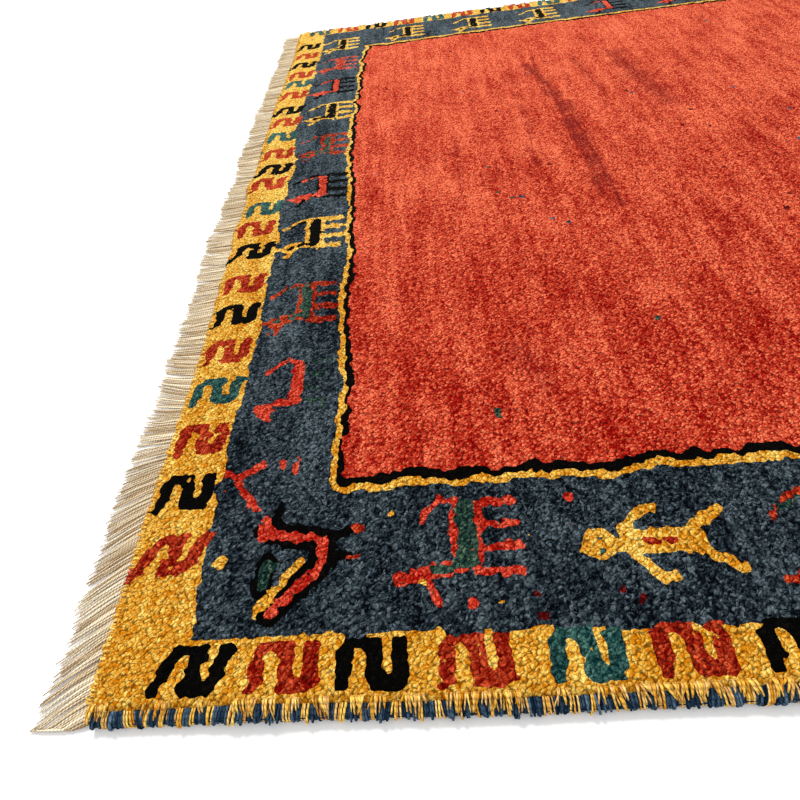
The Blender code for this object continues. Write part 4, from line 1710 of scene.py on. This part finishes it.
@dataclass(frozen=True)
class Studio:
    """Floor, lights and camera.

    Attributes:
        floor_size: length of the floor's sides.
        camera_place: the camera's place.
        camera_right: the way of the picture's right side.
        camera_back: the way out of the camera's back.
        lens: focal length, in millimetres.
        sensor: sensor width, in millimetres.
        shift_y: upward shift of the lens, as a share of the sensor's width.
        sky_strength: strength of the white sky.
        key_power: power of the key light, in watts.
        key_size: width of the key light.
        key_place: its place.
        key_aim: the point that it faces.
    """

    floor_size: float = 14.0
    camera_place: tuple[float, float, float] = (-0.8969, -0.8963, 0.4640)
    camera_right: tuple[float, float, float] = (0.9940, -0.0198, -0.1078)
    camera_back: tuple[float, float, float] = (0.0711, -0.6316, 0.7720)
    lens: float = 22.5
    sensor: float = 36.0
    shift_y: float = -0.01625
    sky_strength: float = 1.0
    key_power: float = 400.0
    key_size: float = 1.65
    key_place: tuple[float, float, float] = (-3.3, 3.9, 4.8)
    key_aim: tuple[float, float, float] = (-0.6, -0.3, 0.0)

    def build(self) -> bpy.types.Object:
        """Set the studio up and give the floor."""
        self._camera()
        self._lights()
        bpy.context.scene.view_settings.view_transform = "Standard"
        return self._floor()

    def _floor(self) -> bpy.types.Object:
        """Lay the floor."""
        half = self.floor_size / 2
        corners = np.array([(-half, -half, 0.0), (half, -half, 0.0), (half, half, 0.0), (-half, half, 0.0)])
        floor = Draft(corners, np.array([[0, 1, 2, 3]])).build("floor", FloorPaint().material())
        return floor

    def _lights(self) -> None:
        """Hang a soft key light over a white sky."""
        world = bpy.data.worlds.new("studio_sky")
        world.use_nodes = True
        sky = world.node_tree.nodes["Background"]
        sky.inputs["Color"].default_value = (1.0, 1.0, 1.0, 1.0)
        sky.inputs["Strength"].default_value = self.sky_strength
        bpy.context.scene.world = world
        lamp = bpy.data.lights.new("key_light", "AREA")
        lamp.shape = "DISK"
        lamp.size = self.key_size
        lamp.energy = self.key_power
        key = bpy.data.objects.new("key_light", lamp)
        key.location = self.key_place
        back = Vector(self.key_place) - Vector(self.key_aim)
        key.rotation_euler = back.to_track_quat("Z", "Y").to_euler()
        bpy.context.scene.collection.objects.link(key)

    def _camera(self) -> None:
        """Set the camera up at the viewing angle."""
        back = Vector(self.camera_back).normalized()
        right = Vector(self.camera_right)
        right = (right - back * right.dot(back)).normalized()
        turned = Matrix((right, back.cross(right), back)).transposed()
        lens = bpy.data.cameras.new("camera")
        lens.sensor_width = self.sensor
        lens.lens = self.lens
        lens.shift_y = self.shift_y
        lens.clip_start = 0.01
        camera = bpy.data.objects.new("camera", lens)
        camera.matrix_world = Matrix.Translation(self.camera_place) @ turned.to_4x4()
        bpy.context.scene.collection.objects.link(camera)
        bpy.context.scene.camera = camera


def settle(pieces: list[bpy.types.Object], node: str) -> list[bpy.types.Object]:
    """Put pieces in the place of a CAD node.

    Args:
        pieces: the pieces.
        node: the node that they stand for.

    Returns:
        The same pieces.
    """
    for piece in pieces:
        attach(piece, BODY)
        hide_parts(node)
        LOG.info("%s: %d faces, for %s", piece.name, len(piece.data.polygons), node)
    return pieces


def main() -> None:
    """Build the rug and its studio."""
    logging.basicConfig(level=logging.INFO, format="%(message)s")
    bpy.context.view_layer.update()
    floor = Studio().build()
    loom, effects = Loom(), Effects()
    chart = Chart(loom)
    wool, backs = PileWool(effects).material(), KnotBacks(effects).material()
    wrap_yarn = SpunYarn(effects, "wrap_yarn").material()
    tuft_yarn = SpunYarn(effects, "tuft_yarn").material()
    warp_yarn = SpunYarn(effects, "warp_yarn", pitch=0.0032).material()
    ground = settle([WovenGround(loom).build(chart, backs)], "knotted_pile")[0]
    laid = settle(KnottedPile(loom).build(chart, wool), "knotted_pile")
    for number, side in enumerate(Side):
        tufts = LeaningTufts(loom, side, seed=31 + number).build(chart, tuft_yarn)
        laid += settle([tufts], "knotted_pile")
        if side in (Side.NEAR, Side.FAR):
            cord = Selvedge(loom, side, seed=41 + number).build(wrap_yarn)
            laid += settle(cord, f"selvedge_{side.label}")
        else:
            ends = Fringe(loom, side, seed=51 + number).build(warp_yarn)
            laid += settle(ends, f"fringe_{side.label}")


if __name__ == "__main__":
    main()
